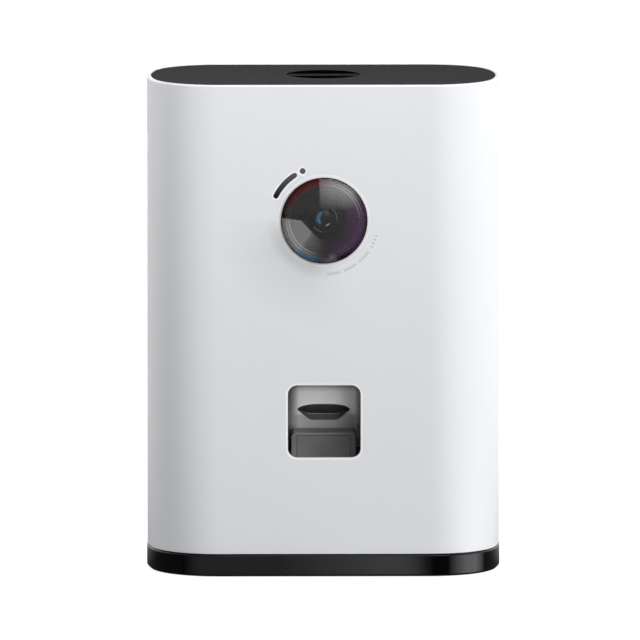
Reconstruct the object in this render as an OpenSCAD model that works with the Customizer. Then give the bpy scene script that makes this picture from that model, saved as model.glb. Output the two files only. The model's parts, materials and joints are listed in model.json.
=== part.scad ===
// Treat tossing pet camera. Front is -Y, +Z is up, the origin is at the centre of the underside.

/* [Casing] */
// Width of the casing
body_w = 154; // [150:1:160]
// Depth of the casing
body_d = 82; // [80:1:86]
// Height of the casing's top above the table
body_h = 216; // [214:1:224]
// Radius of the bulged left and right ends in plan
end_r = 82.5; // [80:0.5:90]
// Radius of the corners in plan
corner_r = 29.5; // [28:0.5:31]
// Wall of the outer sleeve
wall = 2.4; // [2:0.1:2.6]
// White rim left round the lid
rim_w = 1.75; // [1.6:0.05:1.9]
// Thickness of the rubber feet below the base
foot_h = 0.8; // [0.6:0.1:1.2]
// Height of the seam between base and sleeve
seam_z = 9.8; // [9:0.1:11]
// Shadow gap between base and sleeve
seam_gap = 0.5; // [0.4:0.1:0.6]

/* [Camera] */
// Height of the lens axis
lens_z = 156.8; // [155:0.1:158]
// Outer radius of the lens bezel
lens_r = 19.05; // [18.5:0.05:19.5]
// Stand-out of the lens dome in front of the casing
dome_out = 4.2; // [3:0.1:5]
// Radius of the status light's arc about the lens axis
status_r = 23.6; // [23:0.1:25]
// Start angle of the status light
status_a0 = 123.3; // [120:0.1:130]
// End angle of the status light
status_a1 = 153; // [145:0.1:160]
// Width of the status light's stroke
status_w = 2.3; // [1.8:0.1:2.6]
// Angle of the light sensor on the same arc
sensor_a = 113.6; // [110:0.1:115]
// Radius of the light sensor
sensor_r = 1.3; // [1:0.1:1.5]

/* [Window and paddle] */
// Width of the window
win_w = 31.5; // [31:0.1:32]
// Lower edge of the window
win_z0 = 52.5; // [52:0.1:53]
// Upper edge of the window
win_z1 = 84.2; // [83:0.1:86]
// Radius of the window's corners
win_r = 4.1; // [3:0.1:5]
// Width of the toss paddle
paddle_w = 28.4; // [28:0.1:28.6]
// Height of the paddle's flat top
paddle_z1 = 62.7; // [62:0.1:63]

/* [Lid] */
// Thickness of the lid plate
lid_t = 3.2; // [3:0.1:3.6]
// Radius of the knob's recess
knob_r = 15.75; // [15:0.05:16.5]
// Distance of the knob behind the lid's centre
knob_y = 1.5; // [0:0.5:3]
// Travel of the lid bolts
bolt_travel = 3.5; // [3:0.1:3.6]
// Turn of the knob from open to locked
knob_turn = 90; // [90:1:90]

/* [Dosing drum] */
// Radius of the dosing drum
drum_r = 18; // [17:0.5:18]
// Depth position of the drum's axis
drum_y = 9; // [8:0.5:10]
// Height of the drum's axis
drum_z = 104; // [103:0.5:105]
// Number of treat pockets in the drum
pockets = 4; // [3:1:5]

/* [Gears] */
// Teeth on the drum's gear
drum_teeth = 30; // [30:1:30]
// Teeth on the paddle wheel's gear
kicker_teeth = 36; // [36:1:36]
// Teeth on each motor pinion
pinion_teeth = 12; // [12:1:12]
// Module of the drum's gear pair
drum_m = 1; // [1:0.1:1]
// Module of the kicker's gear pair
kicker_m = 0.8; // [0.8:0.1:0.8]

/* [Hidden] */
$fn = 64;
e = 0.02;            // overrun that keeps cuts from ending on a face
fit = 0.05;          // radial clearance of a running fit
gap = 0.3;           // clearance between pieces that move apart

// plan of the casing
end_x = body_w / 2 - end_r;
corner_y = body_d / 2 - corner_r;
corner_x = end_x + sqrt(pow(end_r - corner_r, 2) - pow(corner_y, 2));
corner_a = atan2(corner_y, corner_x - end_x);
front_y = -body_d / 2;
back_y = body_d / 2;
sleeve_z0 = seam_z + seam_gap;
inner_front = front_y + wall;
inner_back = back_y - wall;
end_steps = 8;
corner_steps = 16;

// lid and lock
lid_z0 = body_h - lid_t;
hopper_wall = 2.4;
hopper_in = wall + 0.1;
mouth_in = hopper_in + hopper_wall;
skirt_in = mouth_in + 1.1;
skirt_wall = 2;
skirt_z0 = lid_z0 - 11;
bolt_z = lid_z0 - 8.8;
bolt_t = 3;
bolt_w = 8;
cam_t = 2;
cam_z = bolt_z + bolt_t + 0.2;
cam_r = 17.5;
cam_pin_r = 1.2;
cam_r0 = 9;
seat_z = cam_z + cam_t + 0.4;
knob_wall = 1.4;
liner_z0 = skirt_z0 + 0.4;
liner_t = 1.6;
gasket_z0 = lid_z0 - 3.4;
gasket_h = 1.8;
bolt_x1 = body_w / 2 - skirt_in - 0.5;
screw_x = 55;
screw_y = 16;

// camera
flange_r = lens_r + 2.9;
dome_r = lens_r - 0.8;
dome_base = -front_y + 1;
dome_sag = dome_out - 1;
dome_ball = (pow(dome_r, 2) + pow(dome_sag, 2)) / (2 * dome_sag);
dome_t = 1.6;
board_y = -18;
board_t = 1.6;

// window pocket
liner_wall = 1.6;
pocket_y = -16;
pocket_z0 = 48.8;
pocket_r = 4;
slot_tip = [11.45, 70.8];
slot_top = 73.2;
slot_floor = [6, 66.4];
slot_steps = 8;

// paddle, its lever and the kicker wheel
pivot = [-34.5, 54.5];
shaft_r = 2;
paddle_y0 = -38.2;
paddle_z0 = 51;
paddle_back_r = 18.1;
paddle_corner = 3.2;
paddle_skin = 2;
lever_x = [24.5, 28.3];
lever_len = 18;
lever_t = 2.4;
kicker = [-16, 68];
kicker_pin_r = 2.5;
kicker_pin_at = 9.5;
kicker_rest = 285;
gear_x = [30.2, 34.2];
post_r = 2;

// dosing
drum_half = 14;
housing_gap = 0.4;
housing_wall = 2;
housing_half = drum_half + housing_gap + 2.2;
pocket_ball = 6.5;
drum_shaft_r = 3;
neck_y = [0, 18];
neck_x = 11;
hopper_z0 = 126;
chute_half = 12;
housing_bolt_z = [drum_z - 6, drum_z + 8];
drum_pinion_a = -60;
kicker_pinion_a = 0;
drum_dist = drum_m * (drum_teeth + pinion_teeth) / 2;
kicker_dist = kicker_m * (kicker_teeth + pinion_teeth) / 2;
drum_pinion_c = [drum_y + drum_dist * cos(drum_pinion_a), drum_z + drum_dist * sin(drum_pinion_a)];
kicker_pinion_c = [kicker[0] + kicker_dist * cos(kicker_pinion_a),
    kicker[1] + kicker_dist * sin(kicker_pinion_a)];
bracket_x = [36, 38];
bracket_y1 = 27.5;
motor_r = 10;
motor_len = 22;
pinion_bore = 1;
pressure_a = 25;

// chassis
deck_z = [12.4, 14.8];
upright_x = [-24, -21];
base_floor = 2.6;
base_screw_x = 50;
base_screw_y = 20;
foot_r = 4.5;
pad_r = 10;

// rear
inlet_z = 24;
reset_x = -20;
reset_r = 2.5;
speaker_at = [34, 44];
speaker_r = 15;

// ---- shared shapes ----

// Points of the plan's first quarter: half an end arc, then a corner arc
function quarter(inset) = concat(
    [for (i = [0:end_steps]) let(a = corner_a * i / end_steps)
        [end_x + (end_r - inset) * cos(a), (end_r - inset) * sin(a)]],
    [for (i = [1:corner_steps]) let(a = corner_a + (90 - corner_a) * i / corner_steps)
        [corner_x + (corner_r - inset) * cos(a), corner_y + (corner_r - inset) * sin(a)]]);

function flipped(points, sx, sy) = [for (p = points) [sx * p[0], sy * p[1]]];

function backwards(points, skip = 0) = [for (i = [len(points) - 1:-1:skip]) points[i]];

// Casing's plan, drawn in by inset
module plan(inset = 0) {
    q = quarter(inset);
    r = backwards(q, 1);
    polygon(concat(q, flipped(backwards(q), -1, 1), flipped([for (i = [1:len(q) - 1]) q[i]], -1, -1),
        flipped(r, 1, -1)));
}

module plan_block(inset, z0, z1) {
    translate([0, 0, z0]) linear_extrude(z1 - z0) plan(inset);
}

module plan_ring(outer, inner, z0, z1) {
    difference() {
        plan_block(outer, z0, z1);
        plan_block(inner, z0 - 1, z1 + 1);
    }
}

// Local z points out of the front at height z, local x and y are the front view
module facing_front(z) {
    translate([0, 0, z]) rotate([90, 0, 0]) children();
}

// Local z runs along +X from x, local x and y are world y and z
module along_x(x, at = [0, 0]) {
    translate([x, at[0], at[1]]) rotate([90, 0, 90]) children();
}

// Rod along X
module rod_x(x0, x1, at, r) {
    along_x(x0, at) cylinder(r = r, h = x1 - x0);
}

// Box from its two corners
module box(a, b) {
    translate(a) cube(b - a);
}

module round_rect(w, h, r) {
    square([w - 2 * r, h], center = true);
    square([w, h - 2 * r], center = true);
    for (x = [-1, 1], y = [-1, 1])
        translate([x * (w / 2 - r), y * (h / 2 - r)]) circle(r = r, $fn = 48);
}

// Band of an arc with round ends
module arc_band(r, a0, a1, w) {
    steps = 16;
    cap = 8;
    outer = [for (i = [0:steps]) let(a = a0 + (a1 - a0) * i / steps)
        (r + w / 2) * [cos(a), sin(a)]];
    end_cap = [for (i = [1:cap - 1]) let(b = a1 + 180 * i / cap)
        r * [cos(a1), sin(a1)] + w / 2 * [cos(b), sin(b)]];
    inner = [for (i = [steps:-1:0]) let(a = a0 + (a1 - a0) * i / steps)
        (r - w / 2) * [cos(a), sin(a)]];
    start_cap = [for (i = [1:cap - 1]) let(b = a0 + 180 + 180 * i / cap)
        r * [cos(a0), sin(a0)] + w / 2 * [cos(b), sin(b)]];
    polygon(concat(outer, end_cap, inner, start_cap));
}

// Involute tooth outline
function inv(a) = tan(a) * 180 / PI - a;
function flank_a(r, rp) = r * 1.0001 < rp * cos(pressure_a) ? 0 : acos(min(1, rp * cos(pressure_a) / r));
function half_a(r, m, z) = 90 / z - 3.2 / (m * z) + inv(pressure_a) - inv(flank_a(r, m * z / 2));
module gear_outline(m, z) {
    rp = m * z / 2;
    rb = max(rp * cos(pressure_a), rp - 1.2 * m);
    root = rp - 1.25 * m;
    tip = rp + 0.95 * m;
    radii = [rb, rb + (tip - rb) * 0.3, rb + (tip - rb) * 0.65, tip];
    polygon([for (k = [0:z - 1]) let(c = 360 * k / z) each concat(
        [root * [cos(c - half_a(rb, m, z)), sin(c - half_a(rb, m, z))]],
        [for (r = radii) r * [cos(c - half_a(r, m, z)), sin(c - half_a(r, m, z))]],
        [for (i = [3:-1:0]) let(r = radii[i])
            r * [cos(c + half_a(r, m, z)), sin(c + half_a(r, m, z))]],
        [root * [cos(c + half_a(rb, m, z)), sin(c + half_a(rb, m, z))]])]);
}

// Gear along X with a bore, one tooth turned to angle a
module gear_x(m, z, x0, x1, at, a, bore) {
    along_x(x0, at) difference() {
        linear_extrude(x1 - x0) rotate(a) gear_outline(m, z);
        translate([0, 0, -1]) cylinder(r = bore, h = x1 - x0 + 2);
    }
}

// Countersunk screw pointing up from z, head below
module screw_up(z, head_r, head_h, r, len) {
    translate([0, 0, z]) cylinder(r = head_r, h = head_h);
    translate([0, 0, z + head_h - e]) cylinder(r = r, h = len);
}

// ---- casing ----

module outer_sleeve() {
    color("white") difference() {
        plan_block(0, sleeve_z0, body_h);
        plan_block(wall, sleeve_z0 - 1, body_h + 1);
        plan_block(rim_w, lid_z0, body_h + 1);
        facing_front(lens_z) {
            translate([0, 0, -front_y - wall - 1]) cylinder(r = lens_r + 0.25, h = wall + 2);
            translate([0, 0, -front_y - 0.8]) cylinder(r1 = lens_r + 0.25, r2 = lens_r + 1.3, h = 1);
            translate([0, 0, -front_y - wall - 1])
                linear_extrude(wall + 2) arc_band(status_r, status_a0, status_a1, status_w);
            translate([status_r * cos(sensor_a), status_r * sin(sensor_a), -front_y - wall - 1])
                cylinder(r = sensor_r, h = wall + 2);
        }
        facing_front((win_z0 + win_z1) / 2) translate([0, 0, -front_y - wall - 1])
            linear_extrude(wall + 2) round_rect(win_w, win_z1 - win_z0, win_r);
        translate([0, back_y + 1, inlet_z]) rotate([90, 0, 0]) linear_extrude(wall + 2)
            round_rect(11.4, 5.2, 2.5);
        translate([reset_x, back_y + 1, inlet_z]) rotate([90, 0, 0])
            cylinder(r = reset_r + 0.1, h = wall + 2);
        translate([speaker_at[0], back_y + 1, speaker_at[1]]) rotate([90, 0, 0]) grille_holes();
    }
}

// Rings of small sound holes
module grille_holes() {
    for (ring = [0:3], k = [0:max(0, 6 * ring - 1)]) rotate(60 * k / max(1, ring))
        translate([3.4 * ring, 0, 0]) cylinder(r = 0.9, h = wall + 2, $fn = 20);
}

module base_plinth() {
    tray_in = wall + 2.2;
    color("#101012") difference() {
        union() {
            plan_block(-0.2, foot_h, seam_z);
            plan_block(0.7, seam_z - e, sleeve_z0);
            plan_block(wall + 0.15, sleeve_z0 - e, sleeve_z0 + 5);
        }
        plan_block(tray_in, foot_h + base_floor, sleeve_z0 + 6);
        for (x = [-1, 1], y = [-1, 1]) translate([x * base_screw_x, y * base_screw_y, 0]) {
            cylinder(r = 1.7, h = 10);
            cylinder(r = 3.2, h = foot_h + 1.4);
        }
    }
}

// Four corner feet and a round pad in the middle
module rubber_feet() {
    color("#202020") {
        for (x = [-1, 1], y = [-1, 1])
            translate([x * base_screw_x, y * (base_screw_y + 8.3), 0]) cylinder(r = foot_r, h = foot_h);
        cylinder(r = pad_r, h = foot_h);
    }
}

module base_screws() {
    color("silver") for (x = [-1, 1], y = [-1, 1])
        translate([x * base_screw_x, y * base_screw_y, 0]) screw_up(foot_h + 0.1, 2.9, 1.3, 1.45, 11.6);
}

module chassis() {
    color("#8a8d90") difference() {
        union() {
            plan_block(8, deck_z[0], deck_z[1]);
            for (x = [-1, 1], y = [-1, 1]) translate([x * base_screw_x, y * base_screw_y, 0]) {
                translate([0, 0, foot_h + base_floor]) cylinder(r = 4, h = deck_z[0] - foot_h - base_floor + e);
            }
            box([upright_x[0], -12, deck_z[1] - e], [upright_x[1], 30, drum_z + 12]);
            box([upright_x[0], -12, deck_z[1] - e], [upright_x[0] + 12, -9, 40]);
        }
        for (x = [-1, 1], y = [-1, 1]) translate([x * base_screw_x, y * base_screw_y, 0])
            cylinder(r = 1.5, h = deck_z[1] + 1);
        rod_x(upright_x[0] - 1, upright_x[1] + 1, [drum_y, drum_z], drum_shaft_r + fit);
        for (z = housing_bolt_z) rod_x(upright_x[0] - 1, upright_x[1] + 1, [drum_y + 17, z], 1.3);
    }
}

module motor_bracket() {
    color("#b0b3b6") difference() {
        union() {
            box([bracket_x[0], kicker[0] - 8, deck_z[1]], [bracket_x[1], bracket_y1, drum_z + 12]);
            box([bracket_x[0], kicker[0] - 8, deck_z[1]], [bracket_x[1] + 10, bracket_y1, deck_z[1] + 2]);
            rod_x(gear_x[0] - 0.4, bracket_x[0] + e, kicker, post_r);
        }
        rod_x(bracket_x[0] - 1, bracket_x[1] + 1, [drum_y, drum_z], drum_shaft_r + fit);
        for (c = [drum_pinion_c, kicker_pinion_c])
            rod_x(bracket_x[0] - 1, bracket_x[1] + 1, c, 3.2);
    }
}

// Can motor behind the bracket with a boss in the bracket's hole
module can_motor(at) {
    color("silver") {
        rod_x(bracket_x[1], bracket_x[1] + motor_len, at, motor_r);
        rod_x(bracket_x[0] + 0.4, bracket_x[1] + e, at, 3);
        rod_x(bracket_x[1] + motor_len - e, bracket_x[1] + motor_len + 1.5, at, 2.5);
    }
}

module drum_motor() {
    can_motor(drum_pinion_c);
}

module kicker_motor() {
    can_motor(kicker_pinion_c);
}

// ---- camera ----

module lens_bezel() {
    color("black") facing_front(lens_z) difference() {
        union() {
            translate([0, 0, -inner_front - 0.1]) cylinder(r = lens_r, h = wall + 1.1);
            translate([0, 0, -inner_front - 2.1]) cylinder(r = flange_r, h = 2);
        }
        translate([0, 0, dome_base - 2]) cylinder(r = dome_r + 0.1, h = 5);
        translate([0, 0, 30]) cylinder(r = dome_r - 1, h = 15);
    }
}

module lens_dome() {
    color("#20242c") facing_front(lens_z) difference() {
        union() {
            intersection() {
                translate([0, 0, dome_base + dome_sag - dome_ball]) sphere(r = dome_ball, $fn = 160);
                translate([0, 0, dome_base]) cylinder(r = dome_r, h = 10);
            }
            translate([0, 0, dome_base - 2]) cylinder(r = dome_r, h = 2 + e);
        }
        translate([0, 0, dome_base + dome_sag - dome_ball]) intersection() {
            sphere(r = dome_ball - dome_t, $fn = 160);
            cylinder(r = dome_r - 1.2, h = 2 * dome_ball);
        }
    }
}

// Stepped dark cone between the dome and the barrel
module lens_baffle() {
    steps = 5;
    r0 = 8.9;
    r1 = dome_r - 1.1;
    z0 = 33.6;
    z1 = dome_base - 2.2;
    color("#18181a") facing_front(lens_z) rotate_extrude($fn = 96)
        polygon(concat([[r0, z0 - 1.4]], [for (i = [0:steps - 1]) let(
                ra = r0 + (r1 - r0) * i / steps, za = z0 + (z1 - z0) * i / steps,
                zb = z0 + (z1 - z0) * (i + 1) / steps) each [[ra, za], [ra, zb]]],
            [[r1, z1], [r1, z0 - 1.4]]));
}

module lens_barrel() {
    color("#141416") facing_front(lens_z) difference() {
        translate([0, 0, -board_y]) cylinder(r = 8.7, h = 37 + board_y);
        translate([0, 0, 33]) cylinder(r = 5.5, h = 5);
        translate([0, 0, 35.6]) cylinder(r1 = 5.5, r2 = 7.4, h = 1.5);
        translate([0, 0, -board_y - 1]) cylinder(r = 3.4, h = 20);
    }
}

module camera_lens() {
    lens_ball = 8;
    color("#203050") facing_front(lens_z) {
        translate([0, 0, 33]) cylinder(r = 5.4, h = 1.2);
        intersection() {
            translate([0, 0, 36.2 - lens_ball]) sphere(r = lens_ball, $fn = 96);
            translate([0, 0, 34.1]) cylinder(r = 5.3, h = 5);
        }
    }
}

module camera_board() {
    color("#1d5a35") {
        box([-17, board_y, lens_z - 17], [17, board_y + board_t, lens_z + 17]);
        box([-6, board_y + board_t - e, lens_z - 15.5], [6, board_y + board_t + 1.4, lens_z - 10.5]);
    }
}

module status_light() {
    color("#2a2c30") facing_front(lens_z) translate([0, 0, -inner_front - 0.6]) {
        linear_extrude(wall + 0.5) arc_band(status_r, status_a0, status_a1, status_w - 0.12);
    }
}

module light_sensor() {
    color("#2a2c30") facing_front(lens_z)
        translate([status_r * cos(sensor_a), status_r * sin(sensor_a), -inner_front - 0.6])
            cylinder(r = sensor_r - 0.06, h = wall + 0.5);
}

// ---- window pocket and paddle ----

// Boat-shaped outline of the treat slot: a flat arch that drops steeply at its ends
module slot_outline() {
    polygon(concat(
        [for (i = [-slot_steps:slot_steps]) let(share = sin(90 * i / slot_steps))
            [-slot_tip[0] * share,
                slot_tip[1] + (slot_top - slot_tip[1]) * sqrt(max(0, 1 - pow(abs(share), 3)))]],
        [[-slot_floor[0], slot_floor[1]], [slot_floor[0], slot_floor[1]]]));
}

module outlet_liner() {
    half = win_w / 2;
    z0 = pocket_z0 - liner_wall;
    z1 = win_z1 + liner_wall;
    back = pocket_y + liner_wall;
    color("#77797c") difference() {
        union() {
            box([-half - liner_wall, inner_front, z0], [half + liner_wall, back, z1]);
            box([-half - 5, inner_front, win_z0 - 6], [half + 5, inner_front + 1.6, win_z1 + 6]);
            for (s = [-1, 1]) along_x(s > 0 ? half + liner_wall - e : -half - liner_wall - 1.8 + e, pivot)
                cylinder(r = 4, h = 1.8);
        }
        translate([0, 0, 64]) linear_extrude(win_z1 - 64) pocket_plan(pocket_r);
        translate([0, 0, pocket_z0]) linear_extrude(64 + e - pocket_z0) pocket_plan(0.6);
        translate([0, pocket_y + liner_wall + 1, 0]) rotate([90, 0, 0])
            linear_extrude(liner_wall + 2) slot_outline();
        rod_x(-half - 6, half + 6, pivot, shaft_r + fit);
    }
}

// Plan of the pocket with rounded back corners
module pocket_plan(r) {
    half = win_w / 2;
    translate([-half, inner_front - 1]) square([2 * half, pocket_y - r - inner_front + 1]);
    translate([-half + r, pocket_y - r - e]) square([2 * half - 2 * r, r + e]);
    for (s = [-1, 1]) translate([s * (half - r), pocket_y - r]) circle(r = r, $fn = 48);
}

module paddle_side(back_r, y0, z0, z1) {
    intersection() {
        translate([y0, z0]) square([40, z1 - z0]);
        translate(pivot) circle(r = back_r, $fn = 96);
    }
}

module toss_paddle() {
    half = paddle_w / 2;
    depth = pivot[0] + paddle_back_r - paddle_y0;
    color("#4a4b4e") difference() {
        intersection() {
            along_x(-half) linear_extrude(paddle_w)
                paddle_side(paddle_back_r, paddle_y0, paddle_z0, paddle_z1);
            translate([0, paddle_y0 + depth / 2, paddle_z0 - 1]) linear_extrude(20)
                round_rect(paddle_w, depth, paddle_corner);
        }
        along_x(-half + paddle_skin) linear_extrude(paddle_w - 2 * paddle_skin)
            paddle_side(paddle_back_r - paddle_skin - 1.2, paddle_y0 + paddle_skin + 3.4,
                paddle_z0 - 1, paddle_z1 - 2.4);
        rod_x(-half - 1, half + 1, pivot, shaft_r);
        for (s = [-1, 1]) box([s * 11.2 - 0.2, paddle_y0 - 1, paddle_z0 - 1],
            [s * 11.2 + 0.2, paddle_y0 + 0.5, paddle_z1 - 3]);
    }
}

module paddle_shaft() {
    color("silver") rod_x(-26, lever_x[1] + 1, pivot, shaft_r);
}

module paddle_lever() {
    color("#d8d8d0") difference() {
        union() {
            rod_x(lever_x[0], lever_x[1], pivot, 4);
            along_x(lever_x[0]) linear_extrude(lever_x[1] - lever_x[0])
                translate([pivot[0], pivot[1] - lever_t / 2]) square([lever_len - lever_t / 2, lever_t]);
            rod_x(lever_x[0], lever_x[1], pivot + [lever_len - lever_t / 2, 0], lever_t / 2 - e);
        }
        rod_x(lever_x[0] - 1, lever_x[1] + 1, pivot, shaft_r);
    }
}

// Turns of the torsion spring round the paddle's shaft, with one leg up the liner's side
module paddle_spring() {
    turns = 5;
    coil_r = 2.9;
    wire = 0.7;
    pitch = 0.9;
    color("silver") {
        for (k = [0:turns - 1]) along_x(-25.2 + k * pitch, pivot) difference() {
            cylinder(r = coil_r + wire / 2, h = wire);
            translate([0, 0, -1]) cylinder(r = coil_r - wire / 2, h = wire + 2);
        }
        box([-25.2, pivot[0] + coil_r - wire / 2, pivot[1]],
            [-25.2 + wire, pivot[0] + coil_r + wire / 2, pivot[1] + 9]);
    }
}

module kicker_gear() {
    color("#e8e4d8") gear_x(kicker_m, kicker_teeth, gear_x[0], gear_x[1], kicker, kicker_pinion_a,
        post_r + fit);
}

module kicker_pin() {
    at = kicker + kicker_pin_at * [cos(kicker_rest), sin(kicker_rest)];
    color("silver") rod_x(lever_x[0], gear_x[0], at, kicker_pin_r);
}

module pinion(m, at, a) {
    color("#d8b04a") {
        gear_x(m, pinion_teeth, gear_x[0], gear_x[1], at, a + 180 + 180 / pinion_teeth, pinion_bore);
        rod_x(gear_x[0] - 0.6, bracket_x[0] + 0.2, at, pinion_bore);
    }
}

module kicker_pinion() {
    pinion(kicker_m, kicker_pinion_c, kicker_pinion_a);
}

module drum_pinion() {
    pinion(drum_m, drum_pinion_c, drum_pinion_a);
}

// ---- dosing ----

module dose_drum() {
    color("#e9e6dc") along_x(-drum_half, [drum_y, drum_z]) difference() {
        cylinder(r = drum_r, h = 2 * drum_half, $fn = 96);
        for (k = [0:pockets - 1]) rotate(45 + 360 * k / pockets)
            translate([drum_r - 1, 0, 2]) cylinder(r = pocket_ball, h = 2 * drum_half - 4);
        translate([0, 0, -1]) cylinder(r = drum_shaft_r, h = 2 * drum_half + 2);
    }
}

module drum_shaft() {
    color("silver") rod_x(upright_x[0] - 1, bracket_x[1] + 1, [drum_y, drum_z], drum_shaft_r);
}

module drum_gear() {
    color("#e8e4d8") gear_x(drum_m, drum_teeth, gear_x[0], gear_x[1], [drum_y, drum_z],
        drum_pinion_a, drum_shaft_r);
}

// Chute outline in the YZ plane, from under the drum down to the slot
module chute_side(t) {
    back = pocket_y + liner_wall + (t > 0 ? 0.05 : -0.5);
    polygon([[back, slot_floor[1] - t], [10 + 0.4 * t, 82 - 1.2 * t], [drum_y + 13 + t, 90 - t],
        [drum_y + 13 + t, 95], [-6 - t, 95], [-6 - t, 84 + t], [back, 73.5 + t]]);
}

module dose_housing() {
    axis = [drum_y, drum_z];
    bore_r = drum_r + housing_gap;
    color("#5b6168") difference() {
        union() {
            rod_x(-housing_half, housing_half, axis, bore_r + housing_wall);
            box([-neck_x - 2, neck_y[0] - 2, drum_z + 8], [neck_x + 2, neck_y[1] + 2, hopper_z0 - 0.1]);
            along_x(-chute_half - 2) linear_extrude(2 * chute_half + 4) chute_side(2);
            for (z = housing_bolt_z) rod_x(upright_x[1], -housing_half + e, [drum_y + 17, z], 3);
            rod_x(upright_x[1], -housing_half + e, [drum_y - 14, drum_z], 3);
        }
        rod_x(-drum_half - housing_gap, drum_half + housing_gap, axis, bore_r);
        rod_x(-housing_half - 1, housing_half + 1, axis, drum_shaft_r + 0.5);
        box([-neck_x, neck_y[0], drum_z + 4], [neck_x, neck_y[1], hopper_z0 + 1]);
        along_x(-chute_half) linear_extrude(2 * chute_half) chute_side(0);
        for (z = housing_bolt_z) rod_x(upright_x[1] - 1, -housing_half + 1, [drum_y + 17, z], 1.1);
    }
}

module housing_screws() {
    color("silver") for (z = housing_bolt_z) {
        rod_x(upright_x[0] - 1.6, upright_x[0], [drum_y + 17, z], 2.4);
        rod_x(upright_x[0] - e, -housing_half + 0.8, [drum_y + 17, z], 1.05);
    }
}

// Side outlines of the bin, t is the wall added outside
module bin_front_view(t) {
    polygon([[-body_w, body_h], [-body_w, 186 - t], [-74 - 0.3 * t, 178 - t], [-neck_x - t, 134 - 0.5 * t],
        [-neck_x - t, 120], [neck_x + t, 120], [neck_x + t, 134 - 0.5 * t], [74 + 0.3 * t, 178 - t],
        [body_w, 186 - t], [body_w, body_h]]);
}

module bin_side_view(t) {
    polygon([[-body_d, body_h], [-body_d, 192 - t], [-37, 192 - t], [-11 - t, 177 - 0.4 * t],
        [neck_y[0] - t, 134 - 0.3 * t], [neck_y[0] - t, 120], [neck_y[1] + t, 120],
        [neck_y[1] + t, 134 - 0.5 * t], [38, 160 - t], [body_d, 160 - t], [body_d, body_h]]);
}

module bin_shape(inset, t, z0, z1) {
    intersection() {
        plan_block(inset, z0, z1);
        translate([0, body_d, 0]) rotate([90, 0, 0]) linear_extrude(2 * body_d) bin_front_view(t);
        along_x(-body_w) linear_extrude(2 * body_w) bin_side_view(t);
    }
}

module treat_hopper() {
    color("#e4e6e8") difference() {
        bin_shape(hopper_in, 2, hopper_z0, lid_z0 - 0.05);
        bin_shape(mouth_in, 0, hopper_z0 - 1, lid_z0 + 1);
        for (s = [-1, 1]) box([s * 74 - 6, knob_y - bolt_w / 2 - 0.5, bolt_z - 0.5],
            [s * 74 + 6, knob_y + bolt_w / 2 + 0.5, bolt_z + bolt_t + 0.5]);
    }
}

// ---- lid and its lock ----

module lid_plate() {
    color("#3c3d40") difference() {
        union() {
            plan_block(rim_w + 0.25, lid_z0, body_h);
            translate([0, knob_y, seat_z]) cylinder(r = knob_r + 3, h = lid_z0 - seat_z + e);
            for (s = [-1, 1], y = [-1, 1]) box(
                [s * 42 - 20, knob_y + y * (bolt_w / 2 + 1.3) - 1, liner_z0 + liner_t],
                [s * 42 + 20, knob_y + y * (bolt_w / 2 + 1.3) + 1, lid_z0 + e]);
            for (x = [-1, 1], y = [-1, 1]) translate([x * screw_x, y * screw_y, liner_z0 + liner_t])
                cylinder(r = 3.4, h = lid_z0 - liner_z0 - liner_t + e);
        }
        translate([0, knob_y, seat_z - 1]) cylinder(r = knob_r, h = 20);
        for (x = [-1, 1], y = [-1, 1]) translate([x * screw_x, y * screw_y, 0])
            cylinder(r = 1.2, h = lid_z0 - 0.4);
    }
}

module lid_skirt() {
    color("#2b2c2e") difference() {
        plan_ring(skirt_in, skirt_in + skirt_wall, skirt_z0, lid_z0);
        plan_ring(skirt_in - 1, skirt_in + 0.7, gasket_z0 - 0.02, gasket_z0 + gasket_h + 0.02);
        for (s = [-1, 1]) box([s * 71 - 5, knob_y - bolt_w / 2 - gap, bolt_z - gap],
            [s * 71 + 5, knob_y + bolt_w / 2 + gap, bolt_z + bolt_t + gap]);
    }
}

module lid_gasket() {
    color("#8d9094") plan_ring(mouth_in + gap, skirt_in + 0.7, gasket_z0, gasket_z0 + gasket_h);
}

module lid_liner() {
    color("#2b2c2e") difference() {
        plan_block(skirt_in + skirt_wall + 0.1, liner_z0, liner_z0 + liner_t);
        for (x = [-1, 1], y = [-1, 1]) translate([x * screw_x, y * screw_y, 0])
            cylinder(r = 1.5, h = body_h);
    }
}

module lid_screws() {
    color("silver") for (x = [-1, 1], y = [-1, 1])
        translate([x * screw_x, y * screw_y, 0]) screw_up(liner_z0 - 1.4, 2.6, 1.4, 1.15, 9);
}

module lock_knob() {
    floor_z = seat_z + 0.2;
    color("#1b1b1d") translate([0, knob_y, 0]) difference() {
        union() {
            difference() {
                translate([0, 0, floor_z]) cylinder(r = knob_r - 0.1, h = body_h - 0.3 - floor_z);
                translate([0, 0, floor_z + 1.2]) cylinder(r = knob_r - knob_wall, h = 10);
            }
            translate([0, 0, body_h - 3]) box([-knob_r + 1, -3, -3], [knob_r - 1, 3, 2.2]);
            translate([0, 0, (cam_z + floor_z) / 2]) cube([8, 8, floor_z - cam_z + 2 * e], center = true);
        }
        translate([0, 0, cam_z - 1]) cylinder(r = 1.5, h = 6.2);
    }
}

// Outline of a spiral slot that moves a pin out by bolt_travel as the cam turns
module cam_slot() {
    run = 8;
    w = cam_pin_r + 0.15;
    steps = 24;
    function at(i, side) = let(a = -run + (knob_turn + 2 * run) * i / steps,
        r = cam_r0 + bolt_travel * a / knob_turn + side * w) r * [cos(-a), sin(-a)];
    polygon(concat([for (i = [0:steps]) at(i, 1)], [for (i = [steps:-1:0]) at(i, -1)]));
}

module lock_cam() {
    color("#c9c4b4") translate([0, knob_y, cam_z]) difference() {
        cylinder(r = cam_r, h = cam_t);
        translate([0, 0, cam_t / 2]) cube([8.1, 8.1, cam_t + 2], center = true);
        for (s = [0, 180]) rotate(s) translate([0, 0, -1]) linear_extrude(cam_t + 2) cam_slot();
    }
}

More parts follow.
